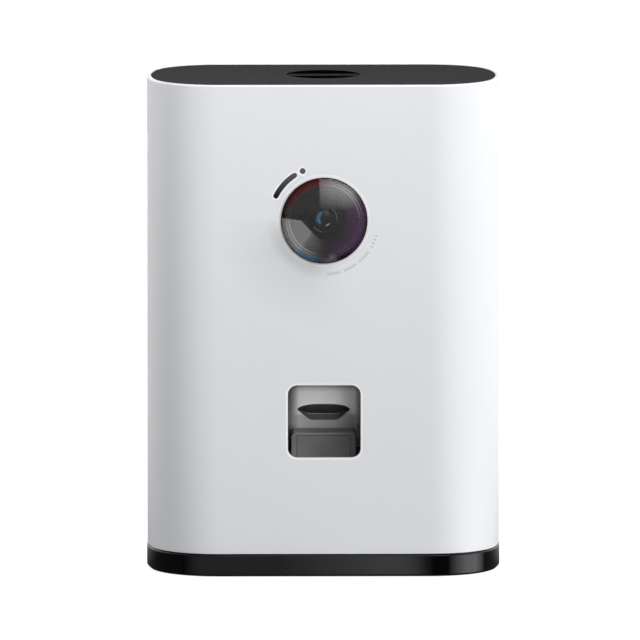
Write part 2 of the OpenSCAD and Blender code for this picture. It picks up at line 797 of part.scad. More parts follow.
module knob_screw() {
    color("silver") translate([0, knob_y, 0]) screw_up(cam_z - 1.9, 4.8, 1.8, 1.45, 4.6);
}

// Bolt on the +X side, with its pin in the cam's slot
module bolt_shape() {
    color("#c9c4b4") {
        difference() {
            box([cam_r0 - 3, knob_y - bolt_w / 2, bolt_z], [bolt_x1, knob_y + bolt_w / 2, bolt_z + bolt_t]);
            translate([0, knob_y, bolt_z - 1]) cylinder(r = 5.4, h = bolt_t + 2);
        }
        translate([cam_r0, knob_y, bolt_z + bolt_t - e]) cylinder(r = cam_pin_r, h = cam_t + 0.2);
    }
}

module right_bolt() {
    bolt_shape();
}

module left_bolt() {
    mirror([1, 0, 0]) bolt_shape();
}

// ---- electronics ----

module main_board() {
    y = inner_back - 5.6;
    color("#1d5a35") {
        box([-60, y - 1.6, 16.5], [10, y, 74]);
        box([-52, y - 3.4, 44], [-36, y - 1.6, 60]);
        box([-26, y - 3, 50], [-16, y - 1.6, 60]);
        box([-6, y - 5, 40], [4, y - 1.6, 48]);
        box([reset_x - 3, y - e, inlet_z - 3], [reset_x + 3, y + 1.2, inlet_z + 3]);
        box([-56, y - 3, deck_z[1] + 0.1], [-40, y - 1.4, 20]);
    }
}

module power_inlet() {
    y = inner_back - 5.6;
    color("silver") translate([0, back_y - 0.6, inlet_z]) rotate([90, 0, 0]) difference() {
        linear_extrude(back_y - 0.6 - y - 0.02) round_rect(8.94, 3.26, 1.6);
        translate([0, 0, -1]) linear_extrude(6) round_rect(8.3, 2.6, 1.28);
    }
    color("#222222") box([-3.2, back_y - 6.4, inlet_z - 0.35], [3.2, back_y - 1.2, inlet_z + 0.35]);
}

module wifi_antenna() {
    color("#c8a040") box([-44, inner_back - 1, 96], [-12, inner_back - 0.2, 106]);
}

module speaker() {
    color("#2a2a2c") translate([speaker_at[0], inner_back - 0.1, speaker_at[1]]) rotate([90, 0, 0]) {
        difference() {
            cylinder(r = speaker_r, h = 2.2);
            translate([0, 0, -1]) cylinder(r = speaker_r - 3, h = 2);
        }
        translate([0, 0, 2.2 - e]) cylinder(r1 = speaker_r - 3, r2 = 8, h = 4);
        translate([0, 0, 6]) cylinder(r = 8, h = 3.4);
    }
}

module reset_button() {
    y = inner_back - 5.6 + 1.2 + 1.2;
    color("#dddddd") translate([reset_x, 0, inlet_z]) rotate([-90, 0, 0]) {
        translate([0, 0, y]) cylinder(r = reset_r + 1, h = 1.2);
        translate([0, 0, y + 1]) cylinder(r = reset_r, h = back_y - 0.1 - y - 1);
    }
}

outer_sleeve();
base_plinth();
rubber_feet();
base_screws();
chassis();
motor_bracket();
lens_bezel();
lens_dome();
lens_baffle();
lens_barrel();
camera_lens();
camera_board();
status_light();
light_sensor();
outlet_liner();
treat_hopper();
dose_housing();
housing_screws();
drum_motor();
kicker_motor();
main_board();
power_inlet();
wifi_antenna();
speaker();
paddle_spring();
lid_plate();
lid_skirt();
lid_gasket();
lid_liner();
lid_screws();
lock_knob();
lock_cam();
knob_screw();
left_bolt();
right_bolt();
dose_drum();
drum_shaft();
drum_gear();
drum_pinion();
kicker_gear();
kicker_pin();
kicker_pinion();
toss_paddle();
paddle_shaft();
paddle_lever();
reset_button();
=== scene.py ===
import json
from math import asin, atan2, cos, degrees, hypot, pi, radians, sin, sqrt

import bmesh
import bpy
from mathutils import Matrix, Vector


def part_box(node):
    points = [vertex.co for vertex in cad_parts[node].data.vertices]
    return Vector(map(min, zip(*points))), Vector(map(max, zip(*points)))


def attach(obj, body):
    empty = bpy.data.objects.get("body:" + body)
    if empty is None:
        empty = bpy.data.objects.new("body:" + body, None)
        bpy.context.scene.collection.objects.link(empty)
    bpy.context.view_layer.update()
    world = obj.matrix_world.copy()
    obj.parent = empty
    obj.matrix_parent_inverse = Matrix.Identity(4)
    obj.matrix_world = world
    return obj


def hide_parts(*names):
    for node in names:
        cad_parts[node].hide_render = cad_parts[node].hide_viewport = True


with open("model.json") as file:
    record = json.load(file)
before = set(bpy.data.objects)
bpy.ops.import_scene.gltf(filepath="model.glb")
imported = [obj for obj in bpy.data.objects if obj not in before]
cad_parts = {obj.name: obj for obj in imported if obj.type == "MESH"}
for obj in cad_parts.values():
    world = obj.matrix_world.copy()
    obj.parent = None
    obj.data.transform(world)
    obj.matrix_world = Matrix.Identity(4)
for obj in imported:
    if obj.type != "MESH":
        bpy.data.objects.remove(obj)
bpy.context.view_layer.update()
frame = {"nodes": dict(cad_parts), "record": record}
NODES = frame["nodes"]
MM = 0.001


def node_box(name):
    lo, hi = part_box(name)
    return [v / MM for v in lo], [v / MM for v in hi]


# ---- sizes in millimetres, from the frame where a node's box gives them ----
SLEEVE_LO, SLEEVE_HI = node_box("outer_sleeve")
BASE_LO, BASE_HI = node_box("base_plinth")
LID_LO = node_box("lid_plate")[0]
BEZEL_LO, BEZEL_HI = node_box("lens_bezel")
DOME_LO, DOME_HI = node_box("lens_dome")
KNOB_LO, KNOB_HI = node_box("lock_knob")
PADDLE_LO, PADDLE_HI = node_box("toss_paddle")
FOOT_HI = node_box("rubber_feet")[1]
HALF_W = SLEEVE_HI[0]
HALF_D = SLEEVE_HI[1]
TOP = SLEEVE_HI[2]
SEAM_TOP = SLEEVE_LO[2]
END_R = 82.5
CORNER_R = 29.5
WALL = 2.4
RIM_W = 1.75
LID_T = 3.2
LID_Z0 = TOP - LID_T
SEAT_Z = LID_Z0 - 3.2
FRONT = -HALF_D
LENS_Z = (BEZEL_LO[2] + BEZEL_HI[2]) / 2
LENS_R = 18.8
FLANGE_R = BEZEL_HI[0]
DOME_R = DOME_HI[0] + 0.1
DOME_BASE = HALF_D + 1
DOME_TOP = -DOME_LO[1]
STATUS_R = 23.6
STATUS_A = (123.3, 153.0)
STATUS_W = 2.3
SENSOR_A = 113.6
SENSOR_R = 1.3
LENS_AT = (0, LENS_Z)
SENSOR_AT = (STATUS_R * cos(radians(SENSOR_A)), LENS_Z + STATUS_R * sin(radians(SENSOR_A)))
WIN_HALF = 15.75
WIN_Z = (52.6, 84.45)
WIN_R = 4.1
POCKET_Y = -16.0
POCKET_Z0 = 48.8
POCKET_R = 4.0
LINER_T = 1.6
KNOB_Y = (KNOB_LO[1] + KNOB_HI[1]) / 2
KNOB_R = KNOB_HI[0]
RECESS_R = 15.75
PIVOT = (-34.5, 54.5)
INLET_Z = 24.0
RESET_X = -20.0
SPEAKER = (34.0, 44.0)
SOCKET_BOSS = 1.8
CUT_DEPTH = 5
SCREW_X = 50
SCREW_Y = 20
FOOT_Y = 28.3
FOOT_R = 4.5
MIDDLE_FOOT_R = 10
GRILLE_PITCH = 3.4
PANEL_X = 11.6


# ---- meshes ----

def to_object(name, verts, faces):
    mesh = bpy.data.meshes.new(name)
    mesh.from_pydata([Vector(v) * MM for v in verts], [], faces)
    bm = bmesh.new()
    bm.from_mesh(mesh)
    bmesh.ops.remove_doubles(bm, verts=bm.verts, dist=1e-7)
    bmesh.ops.recalc_face_normals(bm, faces=bm.faces)
    bm.to_mesh(mesh)
    bm.free()
    ob = bpy.data.objects.new(name, mesh)
    bpy.context.scene.collection.objects.link(ob)
    return ob


def loft(name, rings, closed=False):
    """Mesh through rings of equal point count, capped at both ends or joined end to start."""
    n = len(rings[0])
    verts = [p for ring in rings for p in ring]
    faces = []
    count = len(rings)
    for k in range(count if closed else count - 1):
        a, b = k * n, (k + 1) % count * n
        faces += [(a + i, a + (i + 1) % n, b + (i + 1) % n, b + i) for i in range(n)]
    if not closed:
        faces += [tuple(range(n)), tuple(range((count - 1) * n, count * n))]
    return to_object(name, verts, faces)


def plan(inset, end_steps=20, corner_steps=26):
    """Casing's plan drawn in by inset, as (x, y) points."""
    end_x = HALF_W - END_R
    corner_y = HALF_D - CORNER_R
    corner_x = end_x + sqrt((END_R - CORNER_R) ** 2 - corner_y ** 2)
    turn = atan2(corner_y, corner_x - end_x)
    q = [(end_x + (END_R - inset) * cos(turn * i / end_steps), (END_R - inset) * sin(turn * i / end_steps))
         for i in range(end_steps + 1)]
    for i in range(1, corner_steps + 1):
        a = turn + (pi / 2 - turn) * i / corner_steps
        q.append((corner_x + (CORNER_R - inset) * cos(a), corner_y + (CORNER_R - inset) * sin(a)))
    second = [(-x, y) for x, y in reversed(q)]
    third = [(-x, -y) for x, y in q[1:]]
    fourth = [(x, -y) for x, y in reversed(q[1:])]
    return q + second + third + fourth


def plan_loft(name, profile, closed=False):
    """Profile of (inset, z) swept round the casing's plan."""
    return loft(name, [[(x, y, z) for x, y in plan(inset)] for inset, z in profile], closed)


def turned(name, profile, centre, axis="y", steps=128, closed=True):
    """Profile of (radius, along) turned about the lens axis (y, pointing out) or about z."""
    rings = []
    for r, h in profile:
        ring = []
        for i in range(steps):
            a = 2 * pi * i / steps
            u, v = max(r, 0.0) * cos(a), max(r, 0.0) * sin(a)
            if axis == "y":
                ring.append((centre[0] + u, -h, centre[1] + v))
            elif axis == "x":
                ring.append((h, centre[0] + u, centre[1] + v))
            else:
                ring.append((centre[0] + u, centre[1] + v, h))
        rings.append(ring)
    return loft(name, rings, closed)


def cap_arc(ball, r, centre, n):
    """Profile of a ball's cap, from its axis out to radius r."""
    edge = asin(r / ball)
    return [(ball * sin(edge * i / n), centre + ball * cos(edge * i / n)) for i in range(n + 1)]


def arc_points(cx, cy, r, a0, a1, n):
    return [(cx + r * cos(radians(a0 + (a1 - a0) * i / n)), cy + r * sin(radians(a0 + (a1 - a0) * i / n)))
            for i in range(n + 1)]


def round_rect(half_w, half_h, r, n=10):
    pts = []
    for sx, sy, a in ((1, 1, 0), (-1, 1, 90), (-1, -1, 180), (1, -1, 270)):
        pts += arc_points(sx * (half_w - r), sy * (half_h - r), r, a, a + 90, n)
    return pts


def arc_band(r, a0, a1, w, steps=28, cap=10):
    a0, a1 = radians(a0), radians(a1)
    pts = [((r + w / 2) * cos(a0 + (a1 - a0) * i / steps), (r + w / 2) * sin(a0 + (a1 - a0) * i / steps))
           for i in range(steps + 1)]
    for i in range(1, cap):
        b = a1 + pi * i / cap
        pts.append((r * cos(a1) + w / 2 * cos(b), r * sin(a1) + w / 2 * sin(b)))
    pts += [((r - w / 2) * cos(a1 - (a1 - a0) * i / steps), (r - w / 2) * sin(a1 - (a1 - a0) * i / steps))
            for i in range(steps + 1)]
    for i in range(1, cap):
        b = a0 + pi + pi * i / cap
        pts.append((r * cos(a0) + w / 2 * cos(b), r * sin(a0) + w / 2 * sin(b)))
    return pts


def circle(r, n=64):
    return [(r * cos(2 * pi * i / n), r * sin(2 * pi * i / n)) for i in range(n)]


def quarter(n):
    """Cosine and sine at n steps through a right angle."""
    return [(cos(pi / 2 * i / n), sin(pi / 2 * i / n)) for i in range(n + 1)]


def edge_round(r, n=6):
    """Steps of (growth, depth) that round a hole's mouth by radius r, from inside out."""
    return [(r - r * c, r - r * s) for c, s in quarter(n)]


def front_cutter(name, shape, at, mouth, depth, lip=0.12, fall=0.11):
    """Cutter through the front wall at (x, z) with a small round and a wide shallow chamfer at its mouth."""
    rings = []
    levels = [(0, depth)] + [(g, d + fall) for g, d in edge_round(lip, 4)] + [(mouth, 0.0), (mouth, -1.0)]
    for grow, deep in levels:
        rings.append([(at[0] + x, FRONT + deep, at[1] + z) for x, z in shape(grow)])
    return loft(name, rings)


def back_cutter(name, shape, at, mouth, depth):
    rings = []
    levels = [(0, depth)] + edge_round(mouth, 4) + [(mouth, -1.0)]
    for grow, deep in levels:
        rings.append([(at[0] + x, HALF_D - deep, at[1] + z) for x, z in shape(grow)])
    return loft(name, rings)


def settle(ob):
    """Applies an object's modifiers."""
    graph = bpy.context.evaluated_depsgraph_get()
    mesh = bpy.data.meshes.new_from_object(ob.evaluated_get(graph))
    ob.modifiers.clear()
    old = ob.data
    ob.data = mesh
    bpy.data.meshes.remove(old)
    return ob


def carve(ob, cutters, operation="DIFFERENCE"):
    for cutter in cutters:
        mod = ob.modifiers.new("carve", "BOOLEAN")
        mod.operation = operation
        mod.solver = "EXACT"
        mod.object = cutter
        settle(ob)
        mesh = cutter.data
        bpy.data.objects.remove(cutter)
        bpy.data.meshes.remove(mesh)
    return ob


def fuse(ob, others):
    """Takes the other meshes into one object."""
    bm = bmesh.new()
    bm.from_mesh(ob.data)
    for other in others:
        bm.from_mesh(other.data)
        mesh = other.data
        bpy.data.objects.remove(other)
        bpy.data.meshes.remove(mesh)
    bm.to_mesh(ob.data)
    bm.free()
    return ob


def joined(name, parts):
    ob = fuse(parts[0], parts[1:])
    ob.name = name
    return ob


def tick_plan(angle, r0, r1, half, rise):
    """Corners of a narrow bar that points out from a centre at height rise."""
    c, s = cos(radians(angle)), sin(radians(angle))
    return [(u * c - v * s, rise + u * s + v * c) for u, v in ((r0, -half), (r1, -half), (r1, half), (r0, half))]


def block(name, lo, hi):
    x0, y0, z0 = lo
    x1, y1, z1 = hi
    return loft(name, [[(x0, y0, z), (x1, y0, z), (x1, y1, z), (x0, y1, z)] for z in (z0, z1)])


def bevel(ob, width, angle, segments):
    mod = ob.modifiers.new("edges", "BEVEL")
    mod.width = width * MM
    mod.segments = segments
    mod.limit_method = "ANGLE"
    mod.angle_limit = radians(angle)
    return mod


def shade(ob, angle=32, soft=0.0, segments=3):
    ob.data.polygons.foreach_set("use_smooth", [True] * len(ob.data.polygons))
    ob.data.set_sharp_from_angle(angle=radians(angle))
    if soft:
        bevel(ob, soft, angle, segments).harden_normals = False
    mod = ob.modifiers.new("normals", "WEIGHTED_NORMAL")
    mod.keep_sharp = not soft
    mod.weight = 50
    return ob


def paint(ob, look, chosen):
    """Gives the faces for which chosen(centre in mm, normal) holds a look of their own."""
    ob.data.materials.append(MATERIALS[look])
    index = len(ob.data.materials) - 1
    for face in ob.data.polygons:
        if chosen(face.center / MM, face.normal):
            face.material_index = index


def place(ob, body, look, *stands_for, slot=None):
    """Gives a piece its look and its body, and hides the nodes it stands for; slot is not used."""
    slot = slot or look
    ob.data.materials.clear()
    ob.data.materials.append(MATERIALS[look])
    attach(ob, body)
    if stands_for:
        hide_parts(*stands_for)
    return ob


# ---- materials ----

def new_material(name):
    mat = bpy.data.materials.new(name)
    mat.use_nodes = True
    tree = mat.node_tree
    return mat, tree, tree.nodes["Principled BSDF"]


def feed(tree, socket, value):
    """Gives a socket another socket's output, a number or a colour."""
    if isinstance(value, bpy.types.NodeSocket):
        tree.links.new(value, socket)
    else:
        socket.default_value = value if isinstance(value, (int, float)) else (*value, 1)


def position(tree, kind="Object"):
    """A point's x, y and z."""
    coord = tree.nodes.new("ShaderNodeTexCoord")
    split = tree.nodes.new("ShaderNodeSeparateXYZ")
    tree.links.new(coord.outputs[kind], split.inputs["Vector"])
    return split.outputs


def coordinates(tree, scale=(1.0, 1.0, 1.0)):
    coord = tree.nodes.new("ShaderNodeTexCoord")
    mapping = tree.nodes.new("ShaderNodeMapping")
    mapping.inputs["Scale"].default_value = scale
    tree.links.new(coord.outputs["Object"], mapping.inputs["Vector"])
    return mapping.outputs["Vector"]


def finish(tree, shader, colour, rough):
    feed(tree, shader.inputs["Base Color"], colour)
    feed(tree, shader.inputs["Roughness"], rough)


def noise(tree, vector, scale, detail=3.0, rough=0.5):
    node = tree.nodes.new("ShaderNodeTexNoise")
    node.inputs["Scale"].default_value = scale
    node.inputs["Detail"].default_value = detail
    node.inputs["Roughness"].default_value = rough
    tree.links.new(vector, node.inputs["Vector"])
    return node.outputs["Fac"]


def spread(tree, value, lo, hi, source=(0.3, 0.7)):
    node = tree.nodes.new("ShaderNodeMapRange")
    node.inputs["From Min"].default_value = source[0]
    node.inputs["From Max"].default_value = source[1]
    node.inputs["To Min"].default_value = lo
    node.inputs["To Max"].default_value = hi
    tree.links.new(value, node.inputs["Value"])
    return node.outputs["Result"]


def blend(tree, fac, a, b, mode="MIX"):
    """Colour that goes from a to b with fac."""
    node = tree.nodes.new("ShaderNodeMix")
    node.data_type = "RGBA"
    node.blend_type = mode
    for socket, value in (("Factor", fac), ("A", a), ("B", b)):
        feed(tree, node.inputs[socket], value)
    return node.outputs["Result"]


def bump(tree, shader, height, strength, distance):
    node = tree.nodes.new("ShaderNodeBump")
    node.inputs["Strength"].default_value = strength
    node.inputs["Distance"].default_value = distance * MM
    tree.links.new(height, node.inputs["Height"])
    tree.links.new(node.outputs["Normal"], shader.inputs["Normal"])
    return node


def moulded(name, colour, rough, grain=900.0, depth=0.02, vary=0.04, shine=0.5):
    """Moulded plastic: fine grain, slight shifts of tone and gloss."""
    mat, tree, shader = new_material(name)
    vector = coordinates(tree)
    tone = noise(tree, vector, 35.0, 2.0)
    darker, paler = [c * (1 - vary) for c in colour], [min(1, c * (1 + vary)) for c in colour]
    tree.links.new(blend(tree, tone, darker, paler), shader.inputs["Base Color"])
    gloss = noise(tree, vector, 160.0, 4.0)
    tree.links.new(spread(tree, gloss, rough * 0.88, min(1.0, rough * 1.12)), shader.inputs["Roughness"])
    bump(tree, shader, noise(tree, vector, grain, 2.0, 0.6), 0.25, depth)
    shader.inputs["Specular IOR Level"].default_value = shine
    return mat


def shell_white(name, colour, rough, depth):
    """The casing's white plastic, with a soft shade painted into its colour where the lens cover would shadow it, on
    the cover's lower left.
    """
    mat = moulded(name, colour, rough, 1200.0, depth, 0.012)
    tree = mat.node_tree
    shader = tree.nodes["Principled BSDF"]
    angle, radius = lens_polar(tree)
    near = maths(tree, "ADD", spread(tree, radius, 0.15, 0.0, (22.3, 26.0)),
                 spread(tree, radius, 0.13, 0.0, (26.0, 48.0)))
    split = position(tree)
    front = spread(tree, split["Y"], 1.0, 0.0, ((FRONT + 1) * MM, (FRONT + 6) * MM))
    # Painted shade: darker towards the lens on its lower left, on the front face only.
    painted_lens_shade = product(tree, band(tree, angle, -190, -150, -106, -72), near, front)
    colour = shader.inputs["Base Color"].links[0].from_socket
    tree.links.new(blend(tree, painted_lens_shade, colour, (0.0, 0.0, 0.0)), shader.inputs["Base Color"])
    return mat


def metal(name, colour, rough, along=(1.0, 1.0, 1.0), lines=600.0):
    """Metal with fine drawn lines along one axis."""
    mat, tree, shader = new_material(name)
    vector = coordinates(tree, along)
    streak = noise(tree, vector, lines, 3.0, 0.7)
    finish(tree, shader, blend(tree, streak, [c * 0.9 for c in colour], colour),
           spread(tree, streak, rough * 0.8, rough * 1.25))
    bump(tree, shader, streak, 0.2, 0.01)
    shader.inputs["Metallic"].default_value = 1.0
    return mat


def rubber(name, colour):
    mat, tree, shader = new_material(name)
    vector = coordinates(tree)
    dust = noise(tree, vector, 90.0, 4.0, 0.6)
    finish(tree, shader, blend(tree, dust, colour, [c * 1.5 for c in colour]), spread(tree, dust, 0.75, 0.9))
    bump(tree, shader, noise(tree, vector, 1400.0, 2.0), 0.35, 0.03)
    return mat


def circuit(name):
    """Solder mask with paler traces and copper pads."""
    mat, tree, shader = new_material(name)
    vector = coordinates(tree)
    brick = tree.nodes.new("ShaderNodeTexBrick")
    brick.inputs["Scale"].default_value = 120.0
    brick.inputs["Mortar Size"].default_value = 0.03
    brick.inputs["Color1"].default_value = (0.012, 0.09, 0.035, 1)
    brick.inputs["Color2"].default_value = (0.016, 0.11, 0.045, 1)
    brick.inputs["Mortar"].default_value = (0.05, 0.2, 0.08, 1)
    tree.links.new(vector, brick.inputs["Vector"])
    cells = tree.nodes.new("ShaderNodeTexVoronoi")
    cells.inputs["Scale"].default_value = 260.0
    tree.links.new(vector, cells.inputs["Vector"])
    pads = spread(tree, cells.outputs["Distance"], 1.0, 0.0, (0.1, 0.13))
    tree.links.new(blend(tree, pads, brick.outputs["Color"], (0.6, 0.42, 0.14)), shader.inputs["Base Color"])
    bump(tree, shader, brick.outputs["Fac"], 0.3, 0.03)
    shader.inputs["Roughness"].default_value = 0.32
    return mat


def maths(tree, op, a, b=None):
    node = tree.nodes.new("ShaderNodeMath")
    node.operation = op
    for socket, value in zip(node.inputs, (a, b)):
        if value is not None:
            feed(tree, socket, value)
    return node.outputs["Value"]


def product(tree, first, *others):
    for other in others:
        first = maths(tree, "MULTIPLY", first, other)
    return first


def lens_polar(tree, at=(0.0, 0.0)):
    """Angle about the lens axis in degrees and distance from it in mm, in the front view."""
    split = position(tree)
    x = maths(tree, "SUBTRACT", maths(tree, "DIVIDE", split["X"], MM), at[0])
    z = maths(tree, "SUBTRACT", maths(tree, "DIVIDE", split["Z"], MM), LENS_Z + at[1])
    angle = maths(tree, "MULTIPLY", maths(tree, "ARCTAN2", z, x), 180 / pi)
    radius = maths(tree, "SQRT", maths(tree, "ADD", product(tree, x, x), product(tree, z, z)))
    return angle, radius


def band(tree, value, a, b, c, d):
    """Rises from 0 at a to 1 at b and falls from c to d."""
    rise = spread(tree, value, 0.0, 1.0, (a, b))
    fall = spread(tree, value, 1.0, 0.0, (c, d))
    return product(tree, rise, fall)


# Coloured reflections of the cover's coating, painted into its colour: span of angle, distance over which it comes
# in, colour.
PAINTED_COATING_REFLECTIONS = (((-100, -60, 20, 50), (8, 15), (0.11, 0.058, 0.125)),
           ((72, 92, 150, 174), (14.6, 17.0), (0.14, 0.004, 0.008)),
           ((120, 172, 180, 181), (16.5, 17.6), (0.055, 0.010, 0.014)),
           ((-140, -124, -108, -92), (16.2, 17.4), (0.012, 0.20, 0.46)),
           ((-104, -90, -60, -30), (16.4, 17.6), (0.045, 0.018, 0.06)))


def dome_glass(name):
    """Coated cover: grey and clear in the middle, with red, blue and violet reflections of the coating painted into
    its colour at its rim.
    """
    mat, tree, shader = new_material(name)
    smear = noise(tree, coordinates(tree), 60.0, 3.0)
    angle, radius = lens_polar(tree)
    colour = blend(tree, smear, (0.050, 0.050, 0.050), (0.062, 0.061, 0.061))
    # Each span paints a coloured reflection of the coating into the cover's colour.
    for angles, radii, reflected_tint in PAINTED_COATING_REFLECTIONS:
        share = product(tree, band(tree, angle, *angles), spread(tree, radius, 0.0, 1.0, radii))
        colour = blend(tree, share, colour, reflected_tint)
    finish(tree, shader, colour, spread(tree, smear, 0.015, 0.03))
    shader.inputs["Alpha"].default_value = 0.40
    shader.inputs["IOR"].default_value = 2.3
    return mat


def smoked(name):
    """Smoked light pipe, darker towards its lower end."""
    mat, tree, shader = new_material(name)
    split = position(tree)
    ends = [(LENS_Z + STATUS_R * sin(radians(a))) * MM for a in (STATUS_A[1], SENSOR_A)]
    tree.links.new(blend(tree, spread(tree, split["Z"], 0.0, 1.0, ends), (0.010, 0.010, 0.011),
                                (0.115, 0.113, 0.118)), shader.inputs["Base Color"])
    gloss = noise(tree, coordinates(tree), 500.0, 3.0)
    tree.links.new(spread(tree, gloss, 0.2, 0.3), shader.inputs["Roughness"])
    shader.inputs["Specular IOR Level"].default_value = 0.25
    bump(tree, shader, noise(tree, coordinates(tree), 900.0, 2.0), 0.1, 0.004)
    return mat


def tone_ramp(tree, value, stops):
    """Grey that follows stops of (value in mm, level)."""
    first, last = stops[0][0], stops[-1][0]
    ramp = tree.nodes.new("ShaderNodeValToRGB")
    tree.links.new(spread(tree, value, 0.0, 1.0, (first * MM, last * MM)), ramp.inputs["Fac"])
    marks = ramp.color_ramp.elements
    for i, (at, level) in enumerate(stops):
        pos = (at - first) / (last - first)
        el = marks[0] if i == 0 else marks[-1] if i == len(stops) - 1 else marks.new(pos)
        el.position = pos
        el.color = (level, level, level, 1)
    return ramp.outputs["Color"]


def plastic_with_painted_shade(name, across, upward, rough):
    """Plastic with painted light and shade: its tone follows the unit's width and height, given as (mm, level) stops.
    """
    mat, tree, shader = new_material(name)
    vector = coordinates(tree)
    split = position(tree)
    cloud = spread(tree, noise(tree, vector, 40.0, 2.0), 0.97, 1.0)
    shift = product(tree, tone_ramp(tree, split["Z"], upward), cloud)
    tone = blend(tree, 1.0, tone_ramp(tree, split["X"], across), shift, "MULTIPLY")
    tree.links.new(tone, shader.inputs["Base Color"])
    gloss = spread(tree, noise(tree, vector, 200.0, 3.0), rough * 0.9, rough * 1.1)
    tree.links.new(gloss, shader.inputs["Roughness"])
    bump(tree, shader, noise(tree, vector, 900.0, 2.0), 0.2, 0.008)
    return mat


def painted_highlight_ring(name, right, left, pale, depth):
    """Dark ring about the lens axis, with highlights painted paler over two spans of angle, on its upper right and
    its lower left.
    """
    mat, tree, shader = new_material(name)
    angle = lens_polar(tree)[0]
    highlight_share = maths(tree, "ADD", band(tree, angle, *right), band(tree, angle, *left))
    smear = noise(tree, coordinates(tree), 500.0, 2.0)
    dark = blend(tree, smear, [depth * 0.8] * 3, [depth * 1.2] * 3)
    finish(tree, shader, blend(tree, highlight_share, dark, (pale, pale, pale * 1.02)), spread(tree, smear, 0.25, 0.35))
    return mat


def lens_with_painted_reflections(name):
    """Camera lens: dark glass with a painted blue crescent reflection of its coating on the left and a painted glint
    low on the right, both glowing.
    """
    mat, tree, shader = new_material(name)
    inside = lens_polar(tree, (-0.6, 0.4))[1]
    outside = lens_polar(tree, (2.9, -0.4))[1]
    crescent = product(tree, spread(tree, inside, 1.0, 0.0, (2.6, 3.0)), spread(tree, outside, 0.0, 1.0, (4.4, 4.9)))
    angle, radius = lens_polar(tree)
    glint = product(tree, band(tree, angle, -86, -66, -54, -26), band(tree, radius, 2.6, 2.85, 3.15, 3.4))
    # Painted glow: the crescent and the glint give off light of their own.
    glow = maths(tree, "ADD", maths(tree, "MULTIPLY", crescent, 0.8), glint)
    smear = noise(tree, coordinates(tree), 400.0, 2.0)
    dark = blend(tree, smear, (0.008, 0.009, 0.010), (0.012, 0.013, 0.014))
    tree.links.new(blend(tree, crescent, dark, (0.05, 0.30, 0.62)), shader.inputs["Base Color"])
    blue = blend(tree, crescent, dark, (0.03, 0.17, 0.34))
    tree.links.new(blend(tree, glint, blue, (0.8, 0.8, 0.8)), shader.inputs["Emission Color"])
    tree.links.new(glow, shader.inputs["Emission Strength"])
    tree.links.new(spread(tree, smear, 0.03, 0.06), shader.inputs["Roughness"])
    shader.inputs["IOR"].default_value = 1.8
    return mat


# Painted light and shade, as (mm, level) stops over the width and up the height: the window pocket darker at its side
# rounds, under its top edge and to the right; the paddle darker to the right and towards the top of its front.
POCKET_SHADE_ACROSS = [(-15.8, 0.12), (-14.3, 0.26), (-12.8, 0.50), (-10.8, 0.96), (-4.0, 0.94), (0.0, 0.90), (6.0, 0.84),
                 (10.0, 0.80), (12.0, 0.76), (14.0, 0.80), (15.0, 0.50), (15.8, 0.20)]
POCKET_SHADE_UP = [(62.0, 1.0), (66.0, 1.0), (73.0, 0.74), (78.5, 0.71), (79.3, 0.60), (80.2, 0.48),
             (80.6, 0.32), (81.2, 0.20), (84.0, 0.20)]
PADDLE_SHADE_ACROSS = [(-14.1, 0.16), (-9.0, 0.14), (0.0, 0.089), (8.0, 0.061), (14.1, 0.040)]
PADDLE_SHADE_UP = [(50.0, 0.93), (56.0, 0.91), (60.5, 0.78), (62.3, 0.76), (62.8, 1.0), (64.0, 1.0)]

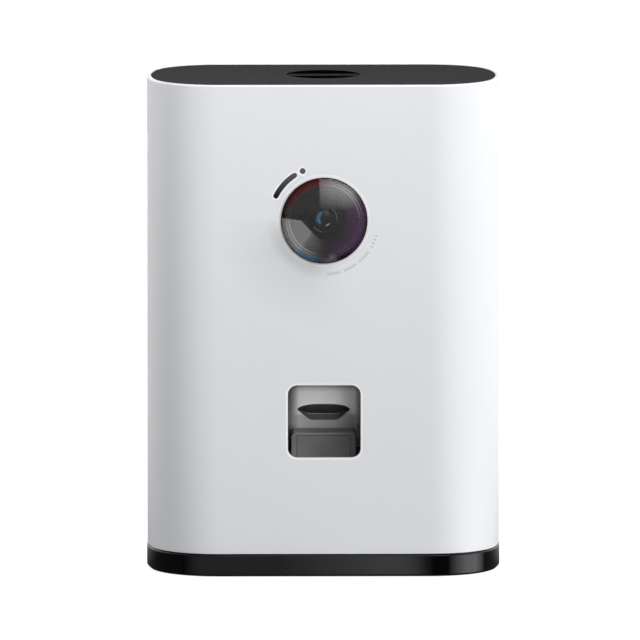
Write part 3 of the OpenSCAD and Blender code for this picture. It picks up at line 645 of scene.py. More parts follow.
# Each look: its function and, for moulded, colour, roughness, grain scale and depth in mm, variation and shine.
LOOKS = {
    "white_shell": (shell_white, (0.80, 0.81, 0.83), 0.42, 0.012),
    # Paler white painted on the rounded edges of the casing as a highlight.
    "shell_edge": (shell_white, (0.97, 0.97, 0.98), 0.3, 0.004),
    # Near-black with no shine, painted as shade in the lid's recess, the paddle's grooves and over the knob's cup.
    "recess_black": (moulded, (0.0012, 0.0012, 0.0013), 0.8, 1000.0, 0.008, 0.1, 0.0),
    # Grey painted on the top of the knob's bar as light falling on it.
    "bar_grey": (moulded, (0.038, 0.038, 0.039), 0.7, 1300.0, 0.01, 0.02, 0.0),
    # Painted highlights: the baffle's bead rings and the barrel's front ring are paler over two spans of angle.
    "bead_ring": (painted_highlight_ring, (0, 18, 70, 92), (-185, -172, -120, -100), 0.85, 0.10),
    "eye_ring": (painted_highlight_ring, (-15, 10, 40, 60), (-150, -138, -105, -90), 0.50, 0.013),
    "barrel_black": (moulded, (0.004, 0.004, 0.0045), 0.4, 1500.0, 0.01, 0.2, 0.2),
    "black_oxide": (moulded, (0.006, 0.006, 0.0065), 0.5, 900.0, 0.01, 0.1, 0.1),
    "print_grey": (moulded, (0.44, 0.44, 0.45), 0.5, 1200.0, 0.005, 0.05),
    "gloss_black": (moulded, (0.0025, 0.0025, 0.0028), 0.035, 300.0, 0.001, 0.2),
    "foot_rubber": (rubber, (0.02, 0.02, 0.021)),
    "screw_steel": (metal, (0.55, 0.55, 0.56), 0.28),
    "inner_plastic": (moulded, (0.36, 0.37, 0.38), 0.5, 700.0, 0.03),
    "bracket_metal": (metal, (0.58, 0.59, 0.60), 0.35, (1.0, 8.0, 0.4)),
    "bezel_black": (moulded, (0.008, 0.008, 0.009), 0.12, 500.0, 0.004, 0.2),
    "dome_glass": (dome_glass,),
    "baffle_black": (moulded, (0.016, 0.016, 0.017), 0.35, 1800.0, 0.01, 0.2),
    "lens_glass": (lens_with_painted_reflections,),
    "circuit_green": (circuit,),
    "smoked_plastic": (smoked,),
    # Painted light and shade in the window pocket, from the stops above.
    "pocket_grey": (plastic_with_painted_shade, POCKET_SHADE_ACROSS, POCKET_SHADE_UP, 0.35),
    # Dark grey painted inside the treat slot as shade, and a pale strip painted at its sill's edge as a highlight.
    "slot_dark": (moulded, (0.10, 0.10, 0.102), 0.35, 800.0, 0.01, 0.05),
    "slot_edge": (moulded, (0.60, 0.60, 0.60), 0.4, 800.0, 0.005, 0.05),
    "bin_plastic": (moulded, (0.62, 0.63, 0.65), 0.3, 700.0, 0.01),
    "housing_grey": (moulded, (0.15, 0.155, 0.16), 0.5, 700.0, 0.03),
    "motor_can": (metal, (0.55, 0.55, 0.56), 0.3, (8.0, 1.0, 1.0)),
    "inlet_steel": (metal, (0.5, 0.5, 0.52), 0.25, (1.0, 8.0, 1.0)),
    "antenna_film": (metal, (0.6, 0.4, 0.14), 0.4),
    "speaker_black": (moulded, (0.02, 0.02, 0.021), 0.55, 900.0, 0.05),
    "spring_steel": (metal, (0.5, 0.5, 0.52), 0.22),
    "lid_grey": (moulded, (0.065, 0.065, 0.066), 0.7, 1300.0, 0.01, 0.015, 0.0),
    "lid_inner": (moulded, (0.03, 0.03, 0.032), 0.5, 900.0, 0.03),
    "gasket_rubber": (rubber, (0.22, 0.23, 0.24)),
    "knob_black": (moulded, (0.004, 0.004, 0.0045), 0.5, 1000.0, 0.008, 0.1, 0.1),
    "acetal": (moulded, (0.60, 0.58, 0.52), 0.38, 600.0, 0.01),
    "drum_plastic": (moulded, (0.66, 0.64, 0.58), 0.4, 600.0, 0.015),
    "shaft_steel": (metal, (0.6, 0.6, 0.61), 0.2, (0.3, 6.0, 6.0)),
    "gear_plastic": (moulded, (0.70, 0.67, 0.60), 0.42, 600.0, 0.015),
    "pinion_brass": (metal, (0.72, 0.5, 0.2), 0.28),
    # Painted light and shade on the paddle, from the stops above.
    "paddle_grey": (plastic_with_painted_shade, PADDLE_SHADE_ACROSS, PADDLE_SHADE_UP, 0.35),
    "button_white": (moulded, (0.62, 0.62, 0.62), 0.35, 900.0, 0.01),
}
MATERIALS = {name: make(name, *values) for name, (make, *values) in LOOKS.items()}


# ---- casing ----

def grille_centres():
    spots = []
    for ring in range(4):
        for k in range(max(1, 6 * ring)):
            a = radians(60 * k / max(1, ring))
            spots.append((SPEAKER[0] + GRILLE_PITCH * ring * cos(a), SPEAKER[1] + GRILLE_PITCH * ring * sin(a)))
    return spots


def make_shell():
    fillet = 0.72
    inner = 0.25
    low = 0.35
    outer_top = [(fillet - fillet * c, TOP - fillet + fillet * s) for c, s in quarter(7)]
    inner_top = [(RIM_W - inner + inner * s, TOP - inner + inner * c) for c, s in quarter(4)]
    outer_low = [(low - low * c, SEAM_TOP + low - low * s) for c, s in reversed(quarter(4))]
    profile = outer_low + outer_top + inner_top + [(RIM_W, LID_Z0), (WALL, LID_Z0), (WALL, SEAM_TOP)]
    shell = plan_loft("casing_shell", profile, closed=True)
    win_at = (0, sum(WIN_Z) / 2)
    cutters = [
        front_cutter("c", lambda g: circle(LENS_R + 0.02 + g, 128), LENS_AT, 1.4, CUT_DEPTH, 0.03, 0.04),
        front_cutter("c", lambda g: arc_band(STATUS_R, *STATUS_A, STATUS_W + 2 * g), LENS_AT, 0.75, CUT_DEPTH),
        front_cutter("c", lambda g: circle(SENSOR_R + g, 40), SENSOR_AT, 0.75, CUT_DEPTH),
        front_cutter("c", lambda g: round_rect(WIN_HALF + 0.13 + g, (WIN_Z[1] - WIN_Z[0]) / 2 + g, WIN_R + g),
                     win_at, 0.85, CUT_DEPTH),
        back_cutter("c", lambda g: round_rect(5.7 + g, 2.6 + g, 2.5 + g), (0, INLET_Z), 0.4, CUT_DEPTH),
        back_cutter("c", lambda g: circle(2.6 + g, 48), (RESET_X, INLET_Z), 0.3, CUT_DEPTH)]
    holes = [back_cutter("c", lambda g: circle(0.9 + g, 20), at, 0.2, CUT_DEPTH) for at in grille_centres()]
    cutters.append(fuse(holes[0], holes[1:]))
    carve(shell, cutters)
    place(shade(shell), "casing", "white_shell", "outer_sleeve")
    # Painted highlight: the mouths of the front openings and the top and lower rounds of the casing take the paler
    # white.
    paint(shell, "shell_edge",
          lambda c, n: abs(c.x) < 30 and FRONT + 0.01 < c.y < FRONT + 0.3 and SEAM_TOP + 5 < c.z < TOP - 5
          or c.z < SEAM_TOP + low and n.z < -0.05 or c.z > TOP - fillet and n.z > 0.05)


def make_plinth():
    chamfer, bevel = 0.6, 0.45
    out = -0.2
    z0, seam = BASE_LO[2] - 0.35, SEAM_TOP - 0.5
    tray = WALL + 2.2
    profile = [(out + chamfer + 0.15, z0), (out + chamfer, z0 + 0.05), (out + 0.08, z0 + chamfer - 0.05),
               (out, z0 + chamfer + 0.12)]
    profile += [(out + bevel - bevel * c, seam - bevel + bevel * s) for c, s in quarter(5)]
    profile += [(0.7, seam), (0.7, SEAM_TOP), (WALL + 0.15, SEAM_TOP), (WALL + 0.15, BASE_HI[2] - 0.4),
                (WALL + 0.55, BASE_HI[2]), (tray, BASE_HI[2]), (tray, z0 + 2.6)]
    plinth = plan_loft("plinth", profile)
    holes = []
    for x in (-SCREW_X, SCREW_X):
        for y in (-SCREW_Y, SCREW_Y):
            holes.append(turned("c", [(1.7, z0 - 1), (1.7, z0 + 10)], (x, y), "z", 32, False))
            holes.append(turned("c", [(3.5, z0 - 1), (3.5, z0), (3.2, z0 + 0.3), (3.2, z0 + 1.4)],
                                (x, y), "z", 32, False))
    carve(plinth, holes)
    place(shade(plinth), "casing", "gloss_black", "base_plinth")


def make_feet():
    parts = []
    h = FOOT_HI[2]
    corners = [(sx * SCREW_X, sy * FOOT_Y, FOOT_R) for sx in (-1, 1) for sy in (-1, 1)]
    for x, y, r in corners + [(0, 0, MIDDLE_FOOT_R)]:
        parts.append(turned("foot", [(0, 0), (r - 0.5, 0), (r - 0.3, 0.06), (r - 0.08, 0.3), (r, h - 0.05), (r, h),
                                     (0, h)], (x, y), "z", 48, False))
    place(shade(joined("foot_pads", parts)), "casing", "foot_rubber", "rubber_feet")


# ---- camera ----

def make_bezel():
    back = -BEZEL_HI[1]
    front = DOME_BASE
    r_in = DOME_R + 0.1
    profile = [(FLANGE_R, back), (FLANGE_R, back + 2), (LENS_R, back + 2), (LENS_R, front - 0.35),
               (LENS_R - 0.1, front - 0.1), (LENS_R - 0.35, front), (r_in + 0.3, front),
               (r_in + 0.08, front - 0.08), (r_in, front - 0.3), (r_in, front - 2), (DOME_R - 1, front - 2),
               (DOME_R - 1, back)]
    place(shade(turned("bezel_ring", profile, LENS_AT)), "casing", "bezel_black",
          "lens_bezel")


def make_dome():
    sag = DOME_TOP - DOME_BASE
    ball = (DOME_R ** 2 + sag ** 2) / (2 * sag)
    centre = DOME_TOP - ball
    steps = 26
    outer = cap_arc(ball, DOME_R, centre, steps)
    inner_r = DOME_R - 1.2
    inner = cap_arc(ball - 1.6, inner_r, centre, steps)[::-1]
    profile = outer + [(DOME_R, DOME_BASE - 0.3), (DOME_R, DOME_BASE - 2), (inner_r, DOME_BASE - 2)] + inner
    profile[0] = (0.0, profile[0][1])
    profile[-1] = (0.0, profile[-1][1])
    place(shade(turned("front_dome", profile, LENS_AT, steps=144, closed=False), 40), "casing",
          "dome_glass", "lens_dome")


def make_baffle():
    r0, r1 = 8.9, DOME_R - 1.1
    z0, z1 = 33.6, DOME_BASE - 2.2
    steps = 7
    profile = [(r0, z0 - 1.4)]
    for i in range(steps):
        ra = r0 + (14.9 - r0) * i / steps
        rb = r0 + (14.9 - r0) * (i + 1) / steps
        za = z0 + (z1 - 1.0 - z0) * i / steps
        zb = z0 + (z1 - 1.0 - z0) * (i + 1) / steps
        profile += [(ra, za), (ra + 0.05, zb - 0.12), (ra + 0.17, zb), (rb - 0.04, zb - 0.02)]
    for bead, size in ((15.35, 0.42), (16.45, 0.26)):
        profile += [(bead + size * cos(a), z1 - 0.6 + size * sin(a)) for a in (pi - pi * i / 8 for i in range(9))]
    profile += [(r1, z1 - 0.3), (r1, z0 - 1.4)]
    cone = turned("lens_cone", profile, LENS_AT)
    place(shade(cone, 50), "casing", "baffle_black", "lens_baffle")
    # Painted highlights on the bead rings.
    paint(cone, "bead_ring", lambda c, n: -c.y > z1 - 0.6 and hypot(c.x, c.z - LENS_Z) < 16.8)


def make_barrel():
    profile = [(3.4, 18), (8.7, 18), (8.7, 36.6), (8.6, 36.9), (8.35, 37.0), (7.6, 37.0), (7.3, 36.85), (6.4, 36.2),
               (6.3, 36.0), (5.85, 35.9)]
    profile += [(5.62 + 0.2 * cos(a), 35.9 + 0.2 * sin(a)) for a in (pi * i / 6 for i in range(7))]
    profile += [(5.42, 33), (3.4, 33)]
    tube = turned("barrel_tube", profile, LENS_AT)
    place(shade(tube), "casing", "barrel_black", "lens_barrel", slot="baffle_black")
    # Painted highlights on the barrel's front ring.
    paint(tube, "eye_ring", lambda c, n: -c.y > 35.85 and hypot(c.x, c.z - LENS_Z) < 5.84)


def make_lens():
    ball, r = 8.0, 5.3
    profile = cap_arc(ball, r, 36.2 - ball, 14) + [(5.35, 34.0), (5.4, 33.8), (5.4, 33.0), (0, 33.0)]
    place(shade(turned("eye_lens", profile, LENS_AT, closed=False), 40), "casing", "lens_glass", "camera_lens")


def front_plug(name, shape, at, y_back, y_front, soft):
    levels = [(0, y_back)] + [(-g, y_front + d) for g, d in edge_round(soft, 4)]
    return loft(name, [[(at[0] + x, y, at[1] + z) for x, z in shape(g)] for g, y in levels])


def make_lights():
    y_back, y_front = FRONT + WALL + 0.6, FRONT + 0.1
    arc = front_plug("light_arc", lambda g: arc_band(STATUS_R, *STATUS_A, STATUS_W - 0.12 + 2 * g),
                     LENS_AT, y_back, y_front, 0.2)
    place(shade(arc), "casing", "smoked_plastic", "status_light")
    eye = front_plug("sensor_eye", lambda g: circle(SENSOR_R - 0.06 + g, 40), SENSOR_AT, y_back, y_front, 0.2)
    place(shade(eye), "casing", "smoked_plastic", "light_sensor")


def make_print():
    """Fine plain ticks printed along the lower right of the lens."""
    marks = []
    for start, step, count in ((-86, 2.5, 6), (-68, 2.5, 6), (-49, 2.5, 6), (-29, 4.0, 4)):
        for k in range(count):
            pts = tick_plan(start + step * k, STATUS_R - 0.6, STATUS_R + 0.6, 0.2, LENS_Z)
            marks.append(loft("p", [[(x, y, z) for x, z in pts] for y in (FRONT + 0.05, FRONT - 0.012)]))
    place(shade(joined("lens_ticks", marks)), "casing", "print_grey", slot="white_shell")


# ---- window pocket and paddle ----

def pocket_plan(r, grow=0.0, n=10):
    half = WIN_HALF + grow
    back = POCKET_Y + grow
    pts = [(-half, FRONT + WALL - 1), (half, FRONT + WALL - 1)]
    pts += arc_points(half - r, back - r, r, 0, 90, n)
    pts += arc_points(-half + r, back - r, r, 90, 180, n)
    return pts


def slot_shape(grow=0.0, drop=1.0, n=20):
    """Outline of the treat slot; drop squeezes its lower part, which forms the sloped sill."""
    tip, top, low = (11.45, 70.4), 72.8, 66.0
    shares = [sin(pi / 2 * i / n) for i in range(-n, n + 1)]
    pts = [(-tip[0] * s, tip[1] + (top - tip[1]) * sqrt(max(0.0, 1 - abs(s) ** 3))) for s in shares]
    corner = [(7.3, low + 1.0), (6.6, low + 0.5), (5.9, low + 0.15), (5.0, low)]
    pts += [(-x, z) for x, z in corner] + corner[::-1]
    mid = 69.2
    sx, sz = 1 + grow / tip[0], 1 + grow / 3.4
    pts = [(x * sx, mid + (z - mid) * sz) for x, z in pts]
    return [(x, z if z > tip[1] else tip[1] + (z - tip[1]) * drop) for x, z in pts]


def make_liner():
    inner_front = FRONT + WALL
    z0, z1 = POCKET_Z0 - LINER_T, WIN_Z[1] + LINER_T
    half = WIN_HALF + LINER_T
    back = POCKET_Y + LINER_T
    liner = block("window_pocket", (-half, inner_front, z0), (half, back, z1))
    flange = block("f", (-WIN_HALF - 5, inner_front, WIN_Z[0] - 6), (WIN_HALF + 5, inner_front + 1.6, WIN_Z[1] + 6))
    bosses = [turned("b", [(4, min(a, b)), (4, max(a, b))], PIVOT, "x", 48, False)
              for a, b in ((half - 0.02, half + SOCKET_BOSS), (-half - SOCKET_BOSS, -half + 0.02))]
    carve(liner, [flange] + bosses, "UNION")
    upper = loft("c", [[(x, y, z) for x, y in pocket_plan(POCKET_R)] for z in (62.0, WIN_Z[1] - 1.2)]
                 + [[(x, y, WIN_Z[1] - 1.2 * (1 - s)) for x, y in pocket_plan(POCKET_R, -1.2 * (1 - c))]
                    for c, s in quarter(5)[1:]])
    lower = loft("c", [[(x, y, z) for x, y in pocket_plan(0.6)] for z in (POCKET_Z0, 64.0)])
    levels = [(0, back + 1), (0, POCKET_Y + 0.5)] + [(g, POCKET_Y + d) for g, d in edge_round(0.5, 4)] + \
             [(0.5, POCKET_Y - 1)]
    levels[1:1] = [(0, POCKET_Y + 1.5), (0, POCKET_Y + 1.45)]
    sills = [0.40, 0.40, 0.45] + [1.0] * len(levels)
    slot = loft("c", [[(x, y, z) for x, z in slot_shape(g, sill)] for (g, y), sill in zip(levels, sills)])
    bore = turned("c", [(2.05, -half - 5), (2.05, half + 5)], PIVOT, "x", 48, False)
    carve(liner, [upper, lower, slot, bore])
    place(shade(liner), "casing", "pocket_grey", "outlet_liner")
    # Painted shade inside the treat slot.
    paint(liner, "slot_dark",
          lambda c, n: POCKET_Y + 0.5 < c.y < back - 0.02 and abs(c.x) < 12 and 65.6 < c.z < 72.9)
    # Painted highlight along the sill's edge.
    paint(liner, "slot_edge",
          lambda c, n: POCKET_Y + 1.44 < c.y < POCKET_Y + 1.51 and abs(c.x) < 9 and c.z < 69.5)


def side_profile(back_r, y0, z0, z1, rise=0.0, n=26):
    """Side outline of the paddle: flat front, top rising by rise to the front, back on an arc about the pivot."""
    top_a = degrees(asin((z1 - PIVOT[1]) / back_r))
    low_a = degrees(asin((z0 - PIVOT[1]) / back_r))
    pts = [(y0, z0)]
    pts += arc_points(PIVOT[0], PIVOT[1], back_r, low_a, top_a, n)
    pts.append((y0, z1 + rise))
    return pts


def make_paddle():
    half, off, rise = PADDLE_HI[0], -0.27, 0.6
    y0, z0, z1 = PADDLE_LO[1], PADDLE_LO[2], PADDLE_HI[2]
    back_r = 18.1
    y1 = PIVOT[0] + back_r
    side = side_profile(back_r, y0, z0, z1, rise)
    body = loft("paddle_block", [[(off + x, y, z) for y, z in side] for x in (-half, half)])
    mid = (y0 + y1) / 2
    column = loft("c", [[(off + x, mid + y, z) for x, y in round_rect(half, (y1 - y0) / 2, 0.9, 8)]
                        for z in (z0 - 1, z1 + 6)])
    middle, tall = (z0 + z1 + rise) / 2, (z1 + rise - z0) / 2
    arch = loft("c", [[(off + x, y, middle + z) for x, z in round_rect(half, tall, 2.5, 10)]
                      for y in (y0 - 1, y1 + 1)])
    carve(body, [column, arch], "INTERSECT")
    hollow = loft("c", [[(x, y, z) for y, z in side_profile(back_r - 3.2, y0 + 5.4, z0 - 1, z1 - 2.4)]
                        for x in (-half + 2, half - 2)])
    bore = turned("c", [(2.0, -half - 1), (2.0, half + 1)], PIVOT, "x", 40, False)
    carve(body, [hollow, bore])
    settle(shade(body, 35, 0.35))
    seam, deep = 0.09, 0.35
    grooves = [block("c", (off + s * PANEL_X - seam, y0 - 1, z0 - 1), (off + s * PANEL_X + seam, y0 + deep, z1 - 0.6))
               for s in (-1, 1)]
    grooves += [block("c", (off - PANEL_X - seam, y0 - 1, z), (off + PANEL_X + seam, y0 + deep, z + 2 * seam))
                for z in (z1 - 0.75, z0 + 1.1)]
    carve(body, grooves)
    place(shade(body, 35), "paddle", "paddle_grey", "toss_paddle")
    # Painted shade at the bottoms of the paddle's grooves.
    paint(body, "recess_black", lambda c, n: n.y < -0.9 and abs(c.y - y0 - deep) < 0.02)


# ---- lid and knob ----

def make_lid():
    inset = RIM_W + 0.25
    soft = 0.35
    edge = [(inset + soft - soft * c, TOP - soft + soft * s) for c, s in quarter(5)]
    plate = plan_loft("lid_cover", [(inset, LID_Z0), (inset, TOP - soft)] + edge[1:])
    recess = turned("c", [(RECESS_R, LID_Z0 - 1), (RECESS_R, TOP - 0.3)]
                    + [(RECESS_R + 0.3 - 0.3 * c, TOP - 0.3 + 0.3 * s) for c, s in quarter(4)[1:]]
                    + [(RECESS_R + 0.3, TOP + 2)],
                    (0, KNOB_Y), "z", 128, False)
    carve(plate, [recess])
    under = [turned("u", [(RECESS_R, SEAT_Z), (RECESS_R + 3, SEAT_Z), (RECESS_R + 3, LID_Z0), (RECESS_R, LID_Z0)],
                    (0, KNOB_Y), "z", 96, True)]
    for s in (-1, 1):
        for t in (-1, 1):
            y = KNOB_Y + t * 5.3
            under.append(block("u", (s * 42 - 20, y - 1, LID_LO[2]), (s * 42 + 20, y + 1, LID_Z0)))
            under.append(turned("u", [(3.4, LID_LO[2]), (3.4, LID_Z0), (1.2, LID_Z0), (1.2, LID_LO[2])],
                                (s * 55, t * 16), "z", 40, True))
    fuse(plate, under)
    place(shade(plate), "lid", "lid_grey", "lid_plate")
    # Painted shade on the walls of the lid's recess.
    paint(plate, "recess_black",
          lambda c, n: c.z < TOP - 0.05 and hypot(c.x, c.y - KNOB_Y) < RECESS_R + 0.28)


def make_ticks():
    """Three plain raised ticks round the recess."""
    marks = []
    for a in (0, 90, 180):
        pts = tick_plan(a, RECESS_R + 1.6, RECESS_R + 4.6, 0.35, KNOB_Y)
        marks.append(loft("t", [[(x, y, z) for x, y in pts] for z in (TOP - 0.2, TOP)]))
    place(shade(joined("lid_ticks", marks)), "lid", "knob_black", slot="lid_grey")


def make_knob():
    floor_z = SEAT_Z + 0.2
    top = KNOB_HI[2]
    wall = 1.4
    cup = turned("finger_knob", [(0, floor_z), (KNOB_R, floor_z), (KNOB_R, top - 0.25), (KNOB_R - 0.08, top - 0.06),
                                 (KNOB_R - 0.3, top), (KNOB_R - wall + 0.4, top), (KNOB_R - wall + 0.1, top - 0.12),
                                 (KNOB_R - wall, top - 0.45), (KNOB_R - wall, floor_z + 2.0),
                                 (KNOB_R - wall - 0.25, floor_z + 1.45), (KNOB_R - wall - 0.8, floor_z + 1.2),
                                 (0, floor_z + 1.2)], (0, KNOB_Y), "z", 128, False)
    bar_top = TOP - 0.12
    x1 = KNOB_R - wall + 0.3
    rings = []
    steps = 28
    for i in range(steps + 1):
        x = -x1 + 2 * x1 * i / steps
        half = 3.0 + 0.3 * (x / x1) ** 2
        rings.append([(x, KNOB_Y + u, v) for u, v in
                      [(-half, floor_z + 1), (half, floor_z + 1), (half, bar_top - 0.4)]
                      + arc_points(half - 0.4, bar_top - 0.4, 0.4, 0, 90, 4)[1:]
                      + arc_points(-half + 0.4, bar_top - 0.4, 0.4, 90, 180, 4)])
    bar = loft("b", rings)
    cam_z = node_box("lock_cam")[0][2]
    boss = block("b", (-4, KNOB_Y - 4, cam_z), (4, KNOB_Y + 4, floor_z + 0.02))
    bore = turned("c", [(1.5, cam_z - 1), (1.5, cam_z + 5.2)], (0, KNOB_Y), "z", 32, False)
    carve(cup, [bar, boss], "UNION")
    carve(cup, [bore])
    # Painted shade: the knob's cup takes a duller black, darker than its own, as it sits in the recess.
    place(shade(cup), "knob", "recess_black", "lock_knob", slot="knob_black")
    # Painted light: the bar's upward faces take a paler grey.
    paint(cup, "bar_grey", lambda c, n: n.z > 0.5 and abs(c.y - KNOB_Y) < 3.6 and c.z > bar_top - 0.5)


# ---- carried-over nodes ----

def dress_nodes():
    """Materials and fine edge bevels on the CAD nodes that stay."""
    slots = {s["node"]: s["material_slot"] for s in frame["record"]["subparts"]}
    gears = ("drum_gear", "kicker_gear", "drum_pinion", "kicker_pinion")
    for name, ob in NODES.items():
        ob.data.materials.clear()
        ob.data.materials.append(MATERIALS[slots[name]])
        bevel(ob, 0.08 if name in gears else 0.15, 50, 2)


# ---- studio ----

CAMERA_AZIMUTH = -0.65
CAMERA_LIFT = 7.3
CAMERA_REACH = 8.0
CAMERA_TARGET = (-1.4, 0.0, 107.92)
SEEN_WIDTH = 0.280
SENSOR_WIDTH = 36.0
WORLD_LIGHT = 0.21
ROOM_FRONT = 0.1
ROOM_BACK = 1.2
FAR_FLOOR = (0.9, 1.4)
FLOOR_HALF = 14.0
WINDOW_REACH = 1.5


def bearing(azimuth, lift):
    """Way from the unit towards an azimuth to the right of the front, in degrees, raised by lift."""
    a, b = radians(azimuth), radians(lift)
    return Vector((sin(a) * cos(b), -cos(a) * cos(b), sin(b)))


def stage_material(name):
    """Empty material: itself, its node tree and the socket for its surface."""
    mat = bpy.data.materials.new(name)
    mat.use_nodes = True
    mat.node_tree.nodes.clear()
    return mat, mat.node_tree, mat.node_tree.nodes.new("ShaderNodeOutputMaterial").inputs["Surface"]


def emission(tree, strength):
    node = tree.nodes.new("ShaderNodeEmission")
    feed(tree, node.inputs["Strength"], strength)
    return node.outputs[0]


def diffuse(tree, colour):
    node = tree.nodes.new("ShaderNodeBsdfDiffuse")
    feed(tree, node.inputs["Color"], colour)
    return node.outputs[0]


def only_reflected(ob):
    ob.visible_camera = False
    ob.visible_diffuse = False
    ob.visible_shadow = False
    ob.visible_transmission = False


def make_camera():
    target = Vector(CAMERA_TARGET) * MM
    away = bearing(CAMERA_AZIMUTH, CAMERA_LIFT)
    data = bpy.data.cameras.new("camera")
    data.sensor_width = SENSOR_WIDTH
    data.lens = SENSOR_WIDTH * CAMERA_REACH / SEEN_WIDTH
    data.clip_end = 60.0
    ob = bpy.data.objects.new("camera", data)
    ob.location = target + away * CAMERA_REACH
    ob.rotation_euler = (-away).to_track_quat("-Z", "Y").to_euler()
    bpy.context.scene.collection.objects.link(ob)
    bpy.context.scene.camera = ob


def ray_kind(tree, kind):
    path = tree.nodes.new("ShaderNodeLightPath")
    return path.outputs[kind]


def mixed(tree, fac, a, b):
    node = tree.nodes.new("ShaderNodeMixShader")
    tree.links.new(fac, node.inputs[0])
    tree.links.new(a, node.inputs[1])
    tree.links.new(b, node.inputs[2])
    return node.outputs[0]


def make_world():
    """White for the camera, a plain level for diffuse light, and a dimmer front half for reflections."""
    world = bpy.data.worlds.new("studio")
    bpy.context.scene.world = world
    world.use_nodes = True
    tree = world.node_tree
    tree.nodes.clear()
    out = tree.nodes.new("ShaderNodeOutputWorld")

    def background(strength, colour=(1, 1, 1)):
        node = tree.nodes.new("ShaderNodeBackground")
        node.inputs["Color"].default_value = (*colour, 1)
        node.inputs["Strength"].default_value = strength
        return node

    split = position(tree, "Generated")
    room = background(1.0)
    tree.links.new(spread(tree, split["Y"], ROOM_FRONT, ROOM_BACK, (-0.35, 0.5)), room.inputs["Strength"])
    soft = mixed(tree, ray_kind(tree, "Is Glossy Ray"), background(WORLD_LIGHT, (0.98, 0.99, 1.0)).outputs[0],
                 room.outputs[0])
    seen = mixed(tree, ray_kind(tree, "Is Camera Ray"), soft, background(1.0).outputs[0])
    seen = mixed(tree, ray_kind(tree, "Is Transmission Ray"), seen, background(1.0).outputs[0])
    tree.links.new(seen, out.inputs["Surface"])


def make_floor():
    """Plain pale floor. Reflections see it dark in front of the unit and pale behind."""
    edge = FLOOR_HALF / MM
    floor = to_object("studio_floor", [(x, y, 0.0) for x, y in
                                       ((-edge, -edge), (edge, -edge), (edge, edge), (-edge, edge))], [(0, 1, 2, 3)])
    mat, tree, surface = stage_material("studio_floor")
    both = tree.nodes.new("ShaderNodeAddShader")
    tree.links.new(diffuse(tree, (0.78, 0.78, 0.79)), both.inputs[0])
    tree.links.new(emission(tree, 0.85), both.inputs[1])
    split = position(tree)
    ahead = maths(tree, "MULTIPLY", split["Y"], -1.0)
    sides = product(tree, spread(tree, split["X"], *FAR_FLOOR, (-0.1, 0.1)),
                    spread(tree, ahead, 0.05, 1.0, (0.0, -0.4)))
    seen = mixed(tree, ray_kind(tree, "Is Camera Ray"), diffuse(tree, (0.48, 0.48, 0.49)), both.outputs[0])
    seen = mixed(tree, ray_kind(tree, "Is Glossy Ray"), seen, emission(tree, sides))
    tree.links.new(seen, surface)
    floor.data.materials.append(mat)
    mat.cycles.emission_sampling = "NONE"


def hang(name, data, azimuth, lift, reach, target):
    """Hangs a lamp that only gives light, and isn't seen itself or reflected."""
    toward = bearing(azimuth, lift)
    ob = bpy.data.objects.new(name, data)
    ob.location = Vector(target) * MM + toward * reach
    ob.rotation_euler = (-toward).to_track_quat("-Z", "Y").to_euler()
    ob.visible_camera = False
    ob.visible_glossy = False
    bpy.context.scene.collection.objects.link(ob)


def softbox(name, azimuth, lift, reach, size, level, target=(0, 0, 110)):
    """Area lamp at an azimuth to the right of the front. level is the light it gives a surface facing it."""
    data = bpy.data.lights.new(name, "AREA")
    data.shape = "RECTANGLE"
    data.size, data.size_y = size
    data.energy = level * pi * pi * reach ** 2
    hang(name, data, azimuth, lift, reach, target)


def card(name, points, level, glow_map):
    """Emissive card that only reflections see; glow_map gives its brightness over its surface."""
    ob = to_object(name, [tuple(v / MM for v in p) for p in points], [tuple(range(len(points)))])
    mat, tree, surface = stage_material(name)
    tree.links.new(emission(tree, glow_map(tree, position(tree), level)), surface)
    ob.data.materials.append(mat)
    only_reflected(ob)


# Soft reflectors on the floor: where each starts, is full, starts to fall and ends, in mm along
# the base, and its level. Rows of a sheet: distance from the base's wall in mm, share of the level.
REFLECTORS = ((-62.0, -55.0, 40.0, 48.0, 0.35), (-20.0, 25.0, 35.0, 47.0, 0.6), (54.0, 62.0, 66.0, 70.0, 2.3))
SHEET_ROWS = ((2.0, 1.0), (150.0, 1.0), (190.0, 0.0))
SHEET_Z = 1.0


def sheet_line(at):
    """Where a line square to the reflector starts on the base's wall, and its way over the floor."""
    corner_y = HALF_D - CORNER_R
    corner_x = HALF_W - END_R + sqrt((END_R - CORNER_R) ** 2 - corner_y ** 2)
    radius = CORNER_R + 0.2
    turn = asin(min(1.0, max(0.0, (abs(at) - corner_x) / radius)))
    side = 1 if at > 0 else -1
    return (at, -corner_y - radius * cos(turn)), (side * sin(2 * turn), -cos(2 * turn))


def reflector_level(at):
    return sum(level * max(0.0, min(1.0, (at - a) / (b - a))) * max(0.0, min(1.0, (d - at) / (d - c)))
               for a, b, c, d, level in REFLECTORS)


def make_reflectors():
    """Soft sheets of light lying in front of the base, which only reflections see."""
    first, last = int(min(r[0] for r in REFLECTORS)), int(max(r[3] for r in REFLECTORS))
    verts, glow = [], []
    for at in range(first, last + 1):
        (x, y), (dx, dy) = sheet_line(at)
        for reach, share in SHEET_ROWS:
            verts.append((x + dx * reach, y + dy * reach, SHEET_Z))
            glow.append(reflector_level(at) * share)
    rows = len(SHEET_ROWS)
    faces = [(k * rows + j, k * rows + j + 1, (k + 1) * rows + j + 1, (k + 1) * rows + j)
             for k in range(last - first) for j in range(rows - 1)]
    ob = to_object("reflector_sheets", verts, faces)
    ob.data.attributes.new("glow", "FLOAT", "POINT").data.foreach_set("value", glow)
    mat, tree, surface = stage_material("reflector_sheets")
    level = tree.nodes.new("ShaderNodeAttribute")
    level.attribute_name = "glow"
    tree.links.new(emission(tree, level.outputs["Fac"]), surface)
    ob.data.materials.append(mat)
    only_reflected(ob)


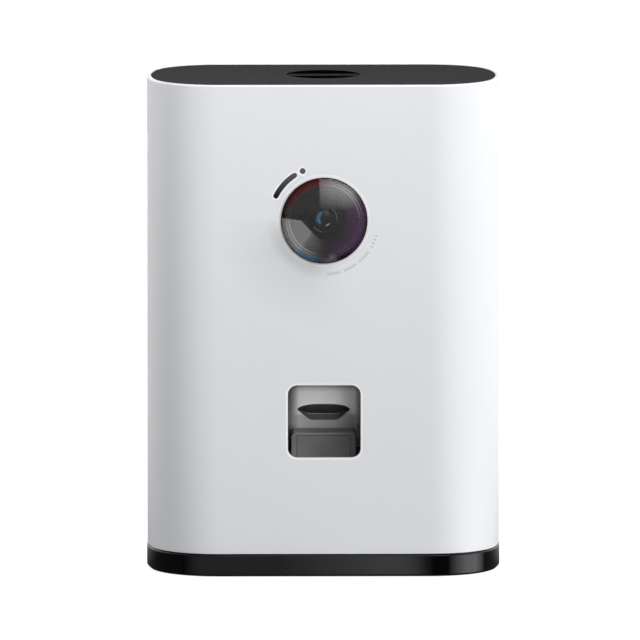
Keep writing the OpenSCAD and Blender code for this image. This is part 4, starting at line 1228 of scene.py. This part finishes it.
def sight(x, z, reach):
    """Point at a reach from the lens along a direction given by its x and z shares."""
    return (x * reach, (FRONT - 4) * MM - sqrt(1 - x * x - z * z) * reach, LENS_Z * MM + z * reach)


def window_glow(tree, split, level):
    """Brightness over the reflected window: soft at its foot, brightest right of its middle."""
    up = maths(tree, "DIVIDE", maths(tree, "SUBTRACT", split["Z"], LENS_Z * MM), WINDOW_REACH)
    side = maths(tree, "DIVIDE", split["X"], WINDOW_REACH)
    foot = spread(tree, up, 0.0, 1.0, (0.05, 0.36))
    left = spread(tree, side, 0.55, 1.0, (-0.06, 0.14))
    middle = spread(tree, side, 1.0, 1.25, (0.2, 0.33))
    right = spread(tree, side, 1.0, 0.08, (0.42, 0.60))
    return product(tree, foot, left, middle, right, level)


def low_glow(tree, split, level):
    """Brightness over the reflected low sheet, which fades out to its right."""
    side = split["X"]
    wide = spread(tree, side, 0.0, 0.52 * level, (0.008, -0.09))
    return maths(tree, "ADD", wide, spread(tree, side, 0.0, 0.48 * level, (-0.088, -0.108)))


def snoot(name, azimuth, lift, reach, target, radius, level):
    """Narrow soft lamp that only reaches into the window."""
    data = bpy.data.lights.new(name, "SPOT")
    data.spot_size = 2 * atan2(radius * MM, reach)
    data.spot_blend = 1.0
    data.shadow_soft_size = 0.004
    data.energy = level * 4 * pi * pi * reach ** 2
    hang(name, data, azimuth, lift, reach, target)


def make_lamps():
    upright, wide, rim = (0.9, 1.2), (0.5, 0.3), (0, -41, 216)
    softbox("back_left", -120, 5, 1.6, upright, 0.385)
    softbox("behind", 180, 5, 1.6, upright, 0.42)
    softbox("key_right", 45, 5, 1.6, upright, 0.715)
    softbox("side_right", 92, 5, 1.6, upright, 0.575)
    softbox("top_left", -60, 45, 0.45, wide, 0.345, rim)
    softbox("top_front", 0, 45, 0.45, wide, 0.482, rim)
    snoot("window_snoot", 4, -14.0, 0.26, (-3.0, -16.0, 75.5), 14.5, 0.50)
    snoot("window_snoot_right", -6, -14.0, 0.26, (9.5, -16.0, 75.0), 9.5, 0.20)
    snoot("window_snoot_low", 0, 4.0, 0.26, (3.0, -16.0, 65.5), 8.0, 0.10)
    window = [(-0.060, 0.06), (0.307, 0.03), (0.57, 0.08), (0.62, 0.5), (0.3, 0.75), (-0.060, 0.8)]
    card("card_window", [sight(x, z, WINDOW_REACH) for x, z in window], 2.35, window_glow)
    low = [(-1.46, -1.70), (-0.50, -1.33), (-0.034, -0.393), (0.02, -0.29), (0.02, -0.19), (-0.2, -0.15),
           (-1.6, -0.5)]
    card("card_low_left", [(x, y, 0.004) for x, y in low], 1.75, low_glow)


for make in (make_shell, make_plinth, make_feet, make_bezel, make_dome, make_baffle, make_barrel, make_lens,
             make_lights, make_print, make_liner, make_paddle, make_lid, make_ticks, make_knob, dress_nodes,
             make_camera, make_world, make_floor, make_reflectors, make_lamps):
    make()
bpy.context.scene.view_settings.view_transform = "Standard"
